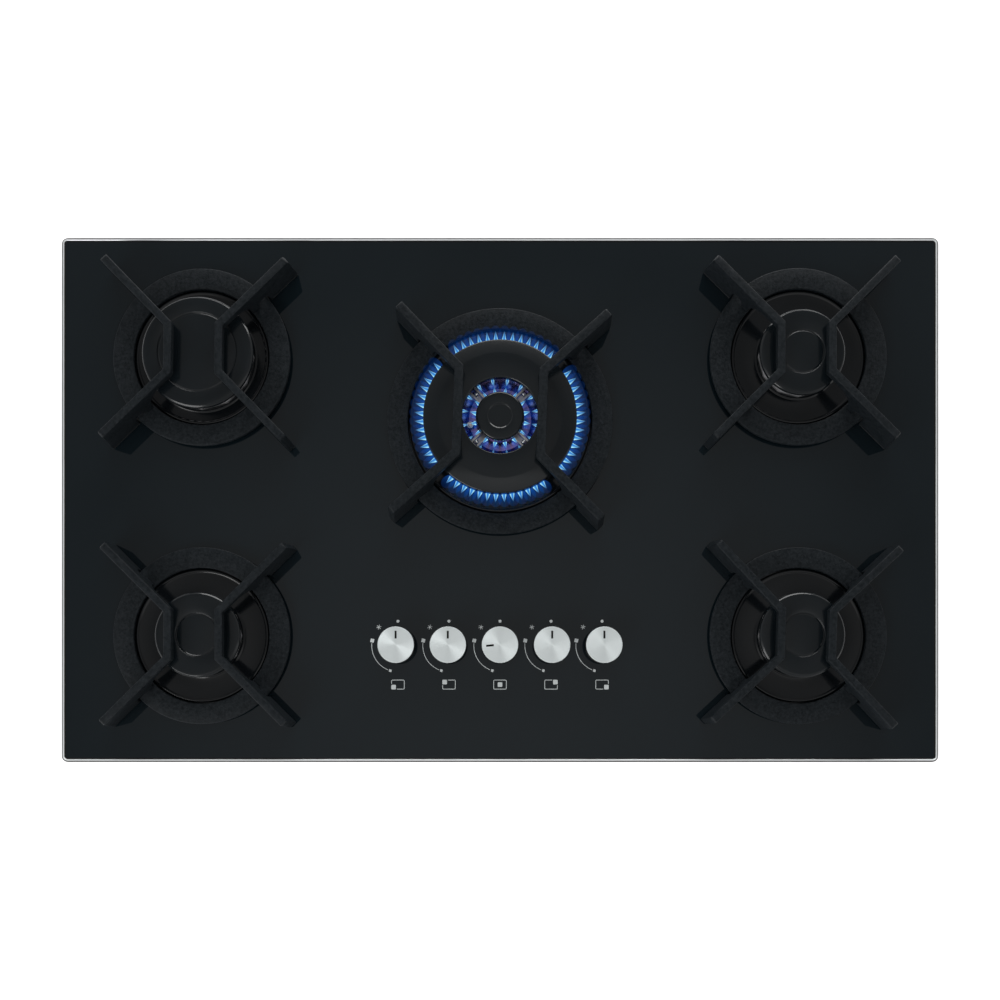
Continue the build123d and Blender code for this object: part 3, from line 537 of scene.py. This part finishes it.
# kind of burner: (angle round it, distance from its axis, height of the tip)
SPARK_AT = {"rapid": (110, 44.0, 13.4), "medium": (110, 32.0, 13.4), "crown": (192, 29.8, 17.6)}
rods = []
for x, y, kind, _ in BURNERS.values():
    turn, out, top = SPARK_AT[kind]
    rod = turned([(0, ROD_LOW), (ROD_R, ROD_LOW), (ROD_R, top - 4.0), (COLLAR_R, top - 3.6),
                  (COLLAR_R, top - 2.6), (2.1, top - 2.2), (1.9, top - 0.2), (0, top - 0.2)], 24)
    soften(rod, 0.2)
    tip = turned([(0, top - 1.0), (TIP_R, top - 1.0), (TIP_R, top - 0.2), (0.3, top), (0, top)],
                 12)
    for face in tip.faces:
        face.material_index = 1
    rods.append(put(put(put(gather([rod, tip]), out), turn=turn), x, y, GLASS_TOP))
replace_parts(piece("ceramic_electrodes", gather(rods), "base", "ceramic", ceramic, turned_steel),
            "spark_electrodes")

# ---------------------------------------------------------------- corner burners
# Die-cast alloy heads with slots for the gas round their rims, under steel caps in
# semi-gloss black enamel. A notch right through each head leaves room for its electrode.

HEAD_R, SLOTS = {"rapid": 50.0, "medium": 38.0}, {"rapid": 44, "medium": 34}
HEAD_LOW, HEAD_TOP, SLOT_LOW, SLOT_DEEP, SPARK_ROOM = 7.0, 15.4, 9.4, 4.0, 3.9
CAP_R = {"rapid": 54.0, "medium": 41.5}
CAP_TOP, CAP_SHOULDER, CAP_SLOPE, CAP_SINK, CAP_GROOVE = 21.0, 19.4, 1.9, 0.4, 0.9
CAP_DISC = {"rapid": (38.8, 36.8), "medium": (21.5, 19.5)}

cap_enamel = enamelled("cap_enamel", (0.005, 0.0074, 0.0092), 0.17, 0.02)


def slotted(radius, slots, low, high, slot_low, deep, bore=0.0, notch=None):
    """A drum with slots round its rim. A notch right through it is (angle, half angle, depth)."""
    steps = slots * 4
    section = [(bore, low), (radius, low), (radius, slot_low), (radius, high), (bore, high)]
    drum = turned(section, steps, closed=bore > 0)
    for vert in [v for v in drum.verts if notch and v.co.xy.length > radius * 0.98]:
        aside = degrees(atan2(vert.co.y, vert.co.x)) - notch[0]
        if abs((aside + 180) % 360 - 180) < notch[1]:
            vert.co.xy *= 1 - notch[2] / radius
    cuts = []
    for face in drum.faces:
        middle = face.calc_center_median()
        step = int(degrees(atan2(middle.y, middle.x)) % 360 / 360 * steps)
        if middle.xy.length > radius * 0.98 and middle.z > slot_low and step % 4 in (1, 2):
            cuts.append(face)
    moved = bmesh.ops.extrude_face_region(drum, geom=cuts)["geom"]
    for vert in [v for v in moved if isinstance(v, bmesh.types.BMVert)]:
        vert.co.xy *= (radius - deep) / vert.co.xy.length
    bmesh.ops.delete(drum, geom=cuts, context="FACES")
    bmesh.ops.recalc_face_normals(drum, faces=drum.faces)
    return drum


for name, (x, y, kind, _) in BURNERS.items():
    if kind == "crown":
        continue
    turn, out, _ = SPARK_AT[kind]
    r = HEAD_R[kind]
    head = slotted(r, SLOTS[kind], HEAD_LOW, HEAD_TOP, SLOT_LOW, SLOT_DEEP,
                   notch=(turn, degrees(SPARK_ROOM / out), r - out + SPARK_ROOM))
    put(head, x, y, GLASS_TOP)
    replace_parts(piece(f"slotted_head_{name}", head, f"burner_head_{name}", "cast_aluminium",
                      cast_alloy), f"burner_head_{name}")
    r = CAP_R[kind]
    wide, narrow = CAP_DISC[kind]
    cap = turned([(0, HEAD_TOP), (r - 0.8, HEAD_TOP), (r, HEAD_TOP + 0.8), (r, CAP_SHOULDER),
                  (r - CAP_SLOPE * 0.45, CAP_TOP - 0.9), (r - CAP_SLOPE, CAP_TOP - 0.1),
                  (r - CAP_SLOPE - 2.5, CAP_TOP), (wide, CAP_TOP),
                  (wide - 0.5, CAP_TOP - CAP_GROOVE), (wide - 1.1, CAP_TOP - CAP_GROOVE),
                  (narrow, CAP_TOP - CAP_SINK), (0, CAP_TOP - CAP_SINK)], 128)
    soften(cap, 0.25, 2, 20)
    put(cap, x, y, GLASS_TOP)
    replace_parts(piece(f"enamelled_cap_{name}", cap, f"burner_cap_{name}", "cap_enamel",
                      cap_enamel), f"burner_cap_{name}")

# ---------------------------------------------------------------- centre burner
# One die-cast head: a slotted outer rim and a core, joined by a dish and four bridges, with
# a hole in the dish for the electrode. Two enamelled caps, a ring and a disc, lie on top.

CROWN_R, CROWN_BORE, CROWN_TOP, CROWN_SLOTS, CROWN_FLOOR = 71.5, 39.0, 20.0, 60, 10.0
CORE_R, CORE_TOP, CORE_SLOTS = 21.5, 19.0, 16
CROWN_SLOT_LOW, CROWN_SLOT_DEEP, CORE_SLOT_LOW, CORE_SLOT_DEEP = 11.0, 5.0, 12.0, 4.0
DISH_R, DISH_TOP, STUD_AT, STUD_R = 30.5, 17.5, 32.6, 2.1
HOLE_IN, HOLE_OUT, HOLE_EDGE, HOLE_HALF = 26.4, 33.2, 12.5, 7.5
RIB_FROM, RIB_TO, RIB_TOP, WEB_TOP, STUD_H = 2.2, 4.5, 17.0, 13.5, 15.8
crown_x, crown_y = BURNERS["centre"][:2]

# Alloy of the crown's dish and core. Its base colour is painted blue and violet in patches, as the
# flames' glow reflected in the metal.
painted_flame_glow = Finish("alloy_painted_flame_glow", (0.15, 0.18, 0.35), 1.0, 0.2)
painted_glow_patches, streak = painted_flame_glow.noise(7.0, 2.0), painted_flame_glow.noise(1.2, 3.0)
painted_flame_glow.feed("Base Color", painted_flame_glow.between(painted_glow_patches * 2.4 + streak * 0.8 - 1.1, (0.03, 0.1, 0.34),
                                         (0.42, 0.27, 0.52)))
painted_flame_glow.feed("Roughness", streak * 0.25 + 0.08)
painted_flame_glow.dents(streak, 0.08)

outer_rim = slotted(CROWN_R, CROWN_SLOTS, HEAD_LOW, CROWN_TOP, CROWN_SLOT_LOW,
                    CROWN_SLOT_DEEP, bore=CROWN_BORE)
dish = turned([(0, HEAD_LOW), (HOLE_IN, HEAD_LOW), (DISH_R, HEAD_LOW), (HOLE_OUT, HEAD_LOW),
               (CROWN_BORE + 1, HEAD_LOW), (CROWN_BORE + 1, DISH_TOP),
               (CROWN_BORE - 0.5, DISH_TOP), (HOLE_OUT, HOLE_EDGE), (DISH_R, CROWN_FLOOR),
               (HOLE_IN, CROWN_FLOOR), (0, CROWN_FLOOR)], 96)
opening = []
for face in dish.faces:
    middle = face.calc_center_median()
    aside = abs(degrees(atan2(middle.y, middle.x)) % 360 - SPARK_AT["crown"][0])
    if HOLE_IN < middle.xy.length < HOLE_OUT and aside < HOLE_HALF:
        opening.append(face)
bmesh.ops.delete(dish, geom=opening, context="FACES")
bmesh.ops.bridge_loops(dish, edges=[e for e in dish.edges if e.is_boundary])
bmesh.ops.recalc_face_normals(dish, faces=dish.faces)
core = slotted(CORE_R, CORE_SLOTS, CROWN_FLOOR - 1, CORE_TOP, CORE_SLOT_LOW, CORE_SLOT_DEEP)
# The dish and the core take the alloy painted with the flames' glow.
for inside in (dish, core):
    for face in inside.faces:
        face.material_index = 1
bridges = []
for k in range(4):
    ribs = [block(CORE_R - 3, CROWN_BORE + 1, y0, y1, CROWN_FLOOR - 0.5, top)
            for y0, y1, top in ((-RIB_TO, -RIB_FROM, RIB_TOP), (RIB_FROM, RIB_TO, RIB_TOP),
                                (-RIB_FROM, RIB_FROM, WEB_TOP))]
    bridge = gather(ribs)
    soften(bridge, 0.5, 2)
    dome = [(STUD_R * cos(radians(15 * n)), STUD_H + STUD_R * sin(radians(15 * n)))
            for n in range(6)]
    stud = turned([(0, WEB_TOP - 1), (STUD_R, WEB_TOP - 1), *dome, (0, STUD_H + STUD_R)], 20)
    for face in stud.faces:
        face.material_index = 2
    bridges.append(put(gather([bridge, put(stud, STUD_AT)]), turn=45 + 90 * k))
crown = put(gather([outer_rim, dish, core, *bridges]), crown_x, crown_y, GLASS_TOP)
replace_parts(piece("crown_casting", crown, "burner_head_centre", "cast_aluminium", cast_alloy,
                  painted_flame_glow, drawn_alloy), "burner_head_centre")

RING_CAP_R, RING_CAP_FLAT, RING_CAP_BORE = 74.5, 59.5, 36.5
RING_CAP_EDGE, RING_CAP_TOP = 22.8, 26.5
ring_cap = turned([(RING_CAP_BORE, CROWN_TOP), (RING_CAP_R - 0.8, CROWN_TOP),
                   (RING_CAP_R, CROWN_TOP + 0.8), (RING_CAP_R, RING_CAP_EDGE - 0.6),
                   (RING_CAP_R - 0.8, RING_CAP_EDGE + 0.1),
                   (RING_CAP_FLAT + 1.5, RING_CAP_TOP - 0.3), (RING_CAP_FLAT, RING_CAP_TOP),
                   (RING_CAP_BORE + 1.0, RING_CAP_TOP), (RING_CAP_BORE, RING_CAP_TOP - 1.0)],
                  160, closed=True)
soften(ring_cap, 0.4, 2, 20)
put(ring_cap, crown_x, crown_y, GLASS_TOP)
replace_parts(piece("enamelled_ring_cap", ring_cap, "crown_ring_cap", "cap_enamel", cap_enamel),
            "crown_ring_cap")

CORE_CAP_R, CORE_CAP_TOP, CORE_DISC_R, CORE_DISC_SINK = 23.5, 25.4, 12.4, 0.9
core_cap = turned([(0, CORE_TOP), (CORE_CAP_R - 0.6, CORE_TOP), (CORE_CAP_R, CORE_TOP + 0.6),
                   (CORE_CAP_R, CORE_CAP_TOP - 2.0), (CORE_CAP_R - 0.6, CORE_CAP_TOP - 0.8),
                   (CORE_CAP_R - 1.9, CORE_CAP_TOP), (CORE_DISC_R, CORE_CAP_TOP),
                   (11.2, CORE_CAP_TOP - CORE_DISC_SINK), (10.2, CORE_CAP_TOP - CORE_DISC_SINK),
                   (0, CORE_CAP_TOP - CORE_DISC_SINK)], 96)
soften(core_cap, 0.4, 2, 20)
put(core_cap, crown_x, crown_y, GLASS_TOP)
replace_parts(piece("enamelled_core_cap", core_cap, "crown_core_cap", "cap_enamel", cap_enamel),
            "crown_core_cap")

# ---------------------------------------------------------------- flames
# Burning gas at the centre burner's slots: thin bright cones with a darker heart, most of
# them in a soft blue mantle. The ring burns outward, with gaps under the trivet's arms, and
# a little inward, and the core burns outward.

ARM_TURNS, ARM_GAP = (43.0, 133.0, 223.0, 313.0), 5.0


def flame_finish(name, edge, heart, alpha, fade, count, root, tip, half):
    """A glow that fades to the tip, brighter at a flame's sides than along its middle."""
    finish = Finish(name, (0.0, 0.0, 0.0), 0.0, 1.0, Specular_IOR_Level=0.0,
                    Emission_Strength=1.3)
    at = finish.place(crown_x, crown_y, 0.0, (1.0, 1.0, 0.0))
    out = finish.node("VectorMath", {"operation": "LENGTH"}, {0: at}, out="Value")
    across = finish.node("SeparateXYZ", {}, {0: at}, out="Y")
    along = finish.node("SeparateXYZ", {}, {0: at}, out="X")
    turn = finish.node("Math", {"operation": "ARCTAN2"}, {0: across, 1: along}) * (count / 2 / pi)
    share = finish.node("Math", {"operation": "FRACT"}, {0: turn}) - 0.5
    aside = finish.node("Math", {"operation": "ABSOLUTE"}, {0: share}) * out * (2 * pi / count)
    way = finish.node("Math", {"operation": "MULTIPLY", "use_clamp": True},
                      {0: (out - root) / (tip - root), 1: 1.0})
    side = finish.node("Math", {"operation": "MULTIPLY", "use_clamp": True},
                       {0: aside / ((1.02 - way) * half), 1: 1.0})
    finish.feed("Emission Color", finish.between(side * side * (1.0 - way * 0.5), heart, edge))
    finish.feed("Alpha", (1.0 - way) * (1.0 - way * fade) * alpha + 0.02)
    return finish


def flame(length, width, rise, mantle):
    """One flame along +X that leans up: an egg for a mantle, or a cone drawn to a point."""
    made = bmesh.new()
    if mantle:
        bmesh.ops.create_uvsphere(made, u_segments=12, v_segments=8, radius=width / 2)
        bmesh.ops.scale(made, vec=(1, 0.7, length / width), verts=made.verts)
    else:
        bmesh.ops.create_cone(made, cap_ends=True, segments=10, radius1=width / 2, radius2=0.08,
                              depth=length)
        sides = [e for e in made.edges if abs(e.verts[0].co.z - e.verts[1].co.z) > length / 2]
        bmesh.ops.subdivide_edges(made, edges=sides, cuts=3)
    for vert in made.verts:
        way = vert.co.z / length + 0.5
        vert.co = Vector((way * length, vert.co.x, vert.co.y + rise * max(way, 0.0) ** 1.4))
    return made


# name: (colours of edge and heart, opacity, fade to the tip), (length, width, rise),
# (distance of its root from the axis, height), how many to the turn, gaps in degrees
DEEP_BLUE, DARK_BLUE = (0.01, 0.12, 0.6), (0.01, 0.08, 0.5)
LIT = {"outer_mantles": ((DEEP_BLUE, DEEP_BLUE, 0.16, 1.0), (15.5, 12.0, 7.0), (72.5, 15.0),
                         CROWN_SLOTS, ARM_TURNS),
       "outer_cones": (((0.52, 1.0, 1.0), (0.01, 0.16, 0.52), 1.0, 0.0), (8.2, 4.8, 4.0),
                       (75.0, 17.0), CROWN_SLOTS, ARM_TURNS),
       "ring_cones": (((0.5, 1.0, 1.0), (0.02, 0.16, 0.5), 0.95, 0.0), (-7.4, 4.0, 1.5),
                      (38.4, 15.5), CORE_SLOTS, ()),
       "core_mantles": ((DARK_BLUE, DARK_BLUE, 0.12, 1.0), (14.0, 9.6, 3.0), (23.0, 13.0),
                        CORE_SLOTS, ()),
       "core_cones": (((0.5, 1.0, 1.0), (0.02, 0.18, 0.5), 1.0, 0.0), (6.2, 4.0, 2.4),
                      (24.0, 15.5), CORE_SLOTS, ())}
for name, (look, (length, width, rise), (root, low), count, gaps) in LIT.items():
    glow = flame_finish(name[:-1], *look, count, root, root + length, width / 2)
    lit = []
    for k in range(count):
        turn = 360.0 * (k + 0.5) / count
        if any(abs((turn - gap + 180) % 360 - 180) < ARM_GAP for gap in gaps):
            continue
        one = put(flame(abs(length), width, rise, mantle=name.endswith("mantles")),
                  turn=180.0 if length < 0 else 0.0)
        lit.append(put(put(one, root, 0, low), turn=turn))
    piece(name, put(gather(lit), crown_x, crown_y, GLASS_TOP), "burner_head_centre", None, glow)

# ---------------------------------------------------------------- trivets
# Cast-iron pan supports in matt black enamel: a flat ring that lies on the glass, and two
# pairs of arms that rise from it, joined by bars. Each foot stands on a rubber pad.

ARM_W, ARM_TOP = {"corner": 7.5, "centre": 8.5}, {"corner": 33.0, "centre": 40.0}
RING_R, RING_W, RING_LOW, RING_TOP = {"corner": 87.2, "centre": 111.3}, 20.5, 3.0, 7.0
BEND = {"corner": (24.4, 22.6), "centre": (40.3, 40.3)}
TIP = {"corner": (87.5, 85.5), "centre": (100.5, 98.0)}
BAR_DEEP, POST_W, ARCH_Z, ARCH_RISE, SWEEP = 8.0, 8.5, 9.0, 5.5, 17.0
FOOT_FLARE, FOOT_GAP, FOOT_LIP, PAD_T, TIP_CHAMFER = 3.5, 2.0, 3.0, 1.0, 1.5

iron = Finish("cast_iron_enamel", (0.01, 0.0115, 0.013), 0.0, 0.5, IOR=1.25)
grit, sand, mottle = iron.noise(0.8, 4.0), iron.noise(2.4, 2.0), iron.noise(25.0, 2.0)
grain = (grit * 0.5 + sand * 0.5 - 0.5) * 3.0 + 0.5
iron.feed("Base Color", iron.between(grain, (0.001, 0.003, 0.0044), (0.0185, 0.0225, 0.0262)))
iron.feed("Roughness", grain * 0.16 + mottle * 0.1 + 0.36)
iron.dents(grit * 0.8 + sand * 0.9, 0.22)


def crossing(size, radius):
    """How far from its bend an arm crosses a circle about the trivet's axis."""
    (bx, by), (tx, ty) = BEND[size], TIP[size]
    angle = atan2(ty - by, tx - bx)
    along = bx * cos(angle) + by * sin(angle)
    return (along**2 - bx**2 - by**2 + radius**2) ** 0.5 - along


def curve(x, z, rx, rz, start, end, steps=9):
    """Points along an elliptical curve in the side view of an arm."""
    turns = [radians(start + (end - start) * k / steps) for k in range(steps + 1)]
    return [(x + rx * cos(a), z + rz * sin(a)) for a in turns]


def arm_outline(size):
    """The side of an arm: bar, sweep down to its post, arch over the ring, and foot."""
    (bx, by), (tx, ty) = BEND[size], TIP[size]
    length, top, seat = hypot(tx - bx, ty - by), ARM_TOP[size], (RING_LOW + RING_TOP) / 2
    post = crossing(size, RING_R[size] - RING_W) + 1.0
    foot = crossing(size, RING_R[size]) + FOOT_GAP
    span = (foot - post - POST_W) / 2
    return [(-ARM_W[size] * 2, top), (-ARM_W[size] * 2, top - BAR_DEEP),
            *curve(post - SWEEP, ARCH_Z, SWEEP, top - BAR_DEEP - ARCH_Z, 90, 0),
            (post, seat), (post + POST_W, seat),
            *curve(foot - span, ARCH_Z, span, ARCH_RISE, 180, 0),
            (foot, PAD_T), (length + FOOT_FLARE, PAD_T), (length + FOOT_FLARE, PAD_T + FOOT_LIP),
            (length, top - TIP_CHAMFER), (length - TIP_CHAMFER, top)]


def trivet(size):
    """The four arms and their bars, mitred at the bends, with the ring that carries them."""
    (bx, by), (tx, ty) = BEND[size], TIP[size]
    half, top, turn = ARM_W[size] / 2, ARM_TOP[size], atan2(ty - by, tx - bx)
    arm = bmesh.new()
    side = arm.faces.new([arm.verts.new((x, -half, z)) for x, z in arm_outline(size)])
    swept = bmesh.ops.extrude_face_region(arm, geom=[side], use_keep_orig=True)["geom"]
    bmesh.ops.translate(arm, verts=[v for v in swept if isinstance(v, bmesh.types.BMVert)],
                        vec=(0, 2 * half, 0))
    put(arm, bx, by, turn=degrees(turn))
    bar = block(bx - half, bx + half, -by, by + 4 * half, top - BAR_DEEP, top)
    mitre = Vector((cos(turn), sin(turn) + 1.0, 0.0)).normalized()
    for shape, keep_far in ((arm, True), (bar, False)):
        bmesh.ops.bisect_plane(shape, geom=shape.verts[:] + shape.edges[:] + shape.faces[:],
                               plane_co=(bx, by, 0), plane_no=mitre, clear_inner=keep_far,
                               clear_outer=not keep_far)
    bmesh.ops.bisect_plane(bar, geom=bar.verts[:] + bar.edges[:] + bar.faces[:],
                           plane_co=(0, 0, 0), plane_no=(0, 1, 0), clear_inner=True)
    arms = gather([arm, bar])
    bmesh.ops.remove_doubles(arms, verts=arms.verts, dist=0.02)
    for axis in "YX":
        bmesh.ops.mirror(arms, geom=arms.verts[:] + arms.edges[:] + arms.faces[:], axis=axis,
                         merge_dist=0.01)
    bmesh.ops.recalc_face_normals(arms, faces=arms.faces)
    soften(arms, 0.9, 3, 25)
    r = RING_R[size]
    ring = turned([(r - RING_W, RING_LOW), (r, RING_LOW), (r, RING_TOP), (r - RING_W, RING_TOP)],
                  144, closed=True)
    soften(ring, 0.9, 3)
    return gather([arms, ring])


for name, (x, y, kind, turn) in BURNERS.items():
    size = "centre" if kind == "crown" else "corner"
    support = put(trivet(size), x, y, GLASS_TOP, turn)
    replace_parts(piece(f"cast_trivet_{name}", support, f"trivet_{name}", "cast_iron", iron),
                f"trivet_{name}")
dress(pad_rubber, *[f"trivet_pads_{name}" for name in BURNERS])

# ---------------------------------------------------------------- knobs
# Turned aluminium knobs: a face spun with fine circular grooves inside a bright chamfer, a
# side lacquered satin black, and a pointer slot filled with black.

KNOB_R, KNOB_LOW, KNOB_TOP, KNOB_CHAMFER, GROOVE, GROOVE_DEEP = 17.7, 3.6, 20.0, 0.35, 0.42, 0.035
SKIRT_H, POINTER_W, POINTER_FROM, POINTER_TO, LIT_TURN = 1.6, 1.9, 6.0, 13.5, 95.0

spun = Finish("spun_face", (0.84, 0.88, 0.88), 0.56, 0.45, Anisotropic=0.85)
spun.feed("Base Color", spun.between(spun.noise(0.25, 3.0), (0.79, 0.85, 0.85), (0.92, 0.98, 0.98)))
spun.feed("Roughness", spun.noise(0.4, 2.0) * 0.16 + 0.38)
lacquer = grained("satin_lacquer", (0.004, 0.0045, 0.005), 0.0, 0.4, 0.3, 0.006,
                  Specular_IOR_Level=0.25)
pointer_fill = grained("pointer_fill", (0.003, 0.003, 0.003), 0.0, 0.6, 0.3, 0.01,
                       Specular_IOR_Level=0.15)
face_r = KNOB_R - KNOB_CHAMFER
grooves = int(face_r / GROOVE)
for name in TAPS:
    section = [(0, KNOB_LOW + 0.6), (KNOB_R - 1.2, KNOB_LOW + 0.6), (KNOB_R - 1.2, KNOB_LOW),
               (KNOB_R, KNOB_LOW), (KNOB_R, KNOB_LOW + SKIRT_H),
               (KNOB_R - 0.5, KNOB_LOW + SKIRT_H + 0.5),
               (KNOB_R - 0.4, KNOB_TOP - KNOB_CHAMFER - 0.4), (KNOB_R, KNOB_TOP - KNOB_CHAMFER)]
    section += [(face_r - k * GROOVE / 2, KNOB_TOP - GROOVE_DEEP * (k % 2))
                for k in range(2 * grooves)] + [(0, KNOB_TOP)]
    knob = turned(section, 72)
    for face in knob.faces:
        if face.calc_center_median().z < KNOB_TOP - KNOB_CHAMFER:
            face.material_index = 1
    pointer = block(-POINTER_W / 2, POINTER_W / 2, POINTER_FROM, POINTER_TO, KNOB_TOP - 0.6,
                    KNOB_TOP + 0.02)
    for face in pointer.faces:
        face.material_index = 2
    knob = put(gather([knob, pointer]), knob_x(name), KNOB_Y, GLASS_TOP,
               LIT_TURN if name == "centre" else 0.0)
    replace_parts(piece(f"turned_knob_{name}", knob, f"knob_{name}", "knob_metal", spun, lacquer,
                      pointer_fill), f"knob_{name}")

# ---------------------------------------------------------------- floor, light and camera
# A plain pale floor under a grey studio sky, dimmer overhead and brighter to the front,
# which the camera itself sees as white. Two soft lamps stand behind and at the front left,
# and the camera looks straight down.

FLOOR_HALF, FLOOR_Z, FLOOR_GLOW = 6.0, -0.0005, (0.66, 0.66, 0.66)
# (height above the horizon, grey) of the sky, and (turn to the front, grey) of its bright patch
HEIGHTS = ((0.0, 0.55), (0.25, 0.6), (0.5, 0.5), (0.78, 0.24), (0.9, 0.22), (1.0, 0.42))
FRONTS = ((0.12, 0.0), (0.22, 0.6), (0.4, 0.5), (0.55, 0.0))

floor_paint = Finish("floor", (0.8, 0.8, 0.8), 0.0, 0.9)
ray = floor_paint.node("LightPath", {}, {}, out="Is Camera Ray")
shine = floor_paint.node("LightPath", {}, {}, out="Is Glossy Ray")
seen = floor_paint.node("Math", {"operation": "MAXIMUM"}, {0: ray, 1: shine})
floor_paint.feed("Emission Color", floor_paint.between(seen, (0, 0, 0), FLOOR_GLOW))
floor_paint.feed("Emission Strength", 1.0)
ground = bmesh.new()
bmesh.ops.create_grid(ground, x_segments=1, y_segments=1, size=FLOOR_HALF)
bmesh.ops.translate(ground, verts=ground.verts, vec=(0, 0, FLOOR_Z))
ground_mesh = bpy.data.meshes.new("floor")
ground.to_mesh(ground_mesh)
ground.free()
ground_mesh.materials.append(floor_paint.material)
floor = bpy.data.objects.new("floor", ground_mesh)
bpy.context.scene.collection.objects.link(floor)

world = bpy.data.worlds.new("studio")
sky = Shading(world, "Background")
way = sky.node("TexCoord", {}, {}, out="Generated")
up = sky.node("SeparateXYZ", {}, {0: way}, out="Z")
front = sky.node("SeparateXYZ", {}, {0: way}, out="Y") * -1.0
vault, bright = [sky.node("ValToRGB", {"stops": [(at, (grey,) * 3) for at, grey in greys]},
                          {"Fac": value}) for greys, value in ((HEIGHTS, up), (FRONTS, front))]
both = sky.node("Mix", {"data_type": "RGBA", "blend_type": "ADD"}, {0: 1.0, 6: vault, 7: bright},
                out=2)
seen = sky.node("LightPath", {}, {}, out="Is Camera Ray")
sky.feed("Color", sky.node("Mix", {"data_type": "RGBA"}, {0: seen, 6: both, 7: (1.0,) * 4}, out=2))
bpy.context.scene.world = world

# name: (place, size, watts)
LAMPS = {"rear_lamp": ((0.3, 2.2, 0.8), (2.4, 0.7), 34.0),
         "front_lamp": ((-1.5, -1.7, 1.3), (1.6, 1.0), 24.0)}
AIM = Vector((0, 0, 0.06))
for name, (spot, size, power) in LAMPS.items():
    lamp = bpy.data.lights.new(name, "AREA")
    lamp.shape = "RECTANGLE"
    lamp.size, lamp.size_y = size
    lamp.energy = power
    holder = bpy.data.objects.new(name, lamp)
    holder.location = spot
    holder.rotation_mode = "QUATERNION"
    holder.rotation_quaternion = (AIM - Vector(spot)).to_track_quat("-Z", "Y")
    bpy.context.scene.collection.objects.link(holder)

CAMERA_Y, CAMERA_ABOVE, LENS, SENSOR, SHIFT = -0.1856, 0.893, 32.39, 36.0, 0.187
lens = bpy.data.cameras.new("camera")
lens.sensor_width = SENSOR
lens.lens = LENS
lens.shift_y = SHIFT
camera = bpy.data.objects.new("camera", lens)
camera.location = (0.0, CAMERA_Y, GLASS_TOP / 1000.0 + CAMERA_ABOVE)
bpy.context.scene.collection.objects.link(camera)
bpy.context.scene.camera = camera
bpy.context.scene.view_settings.view_transform = "Standard"
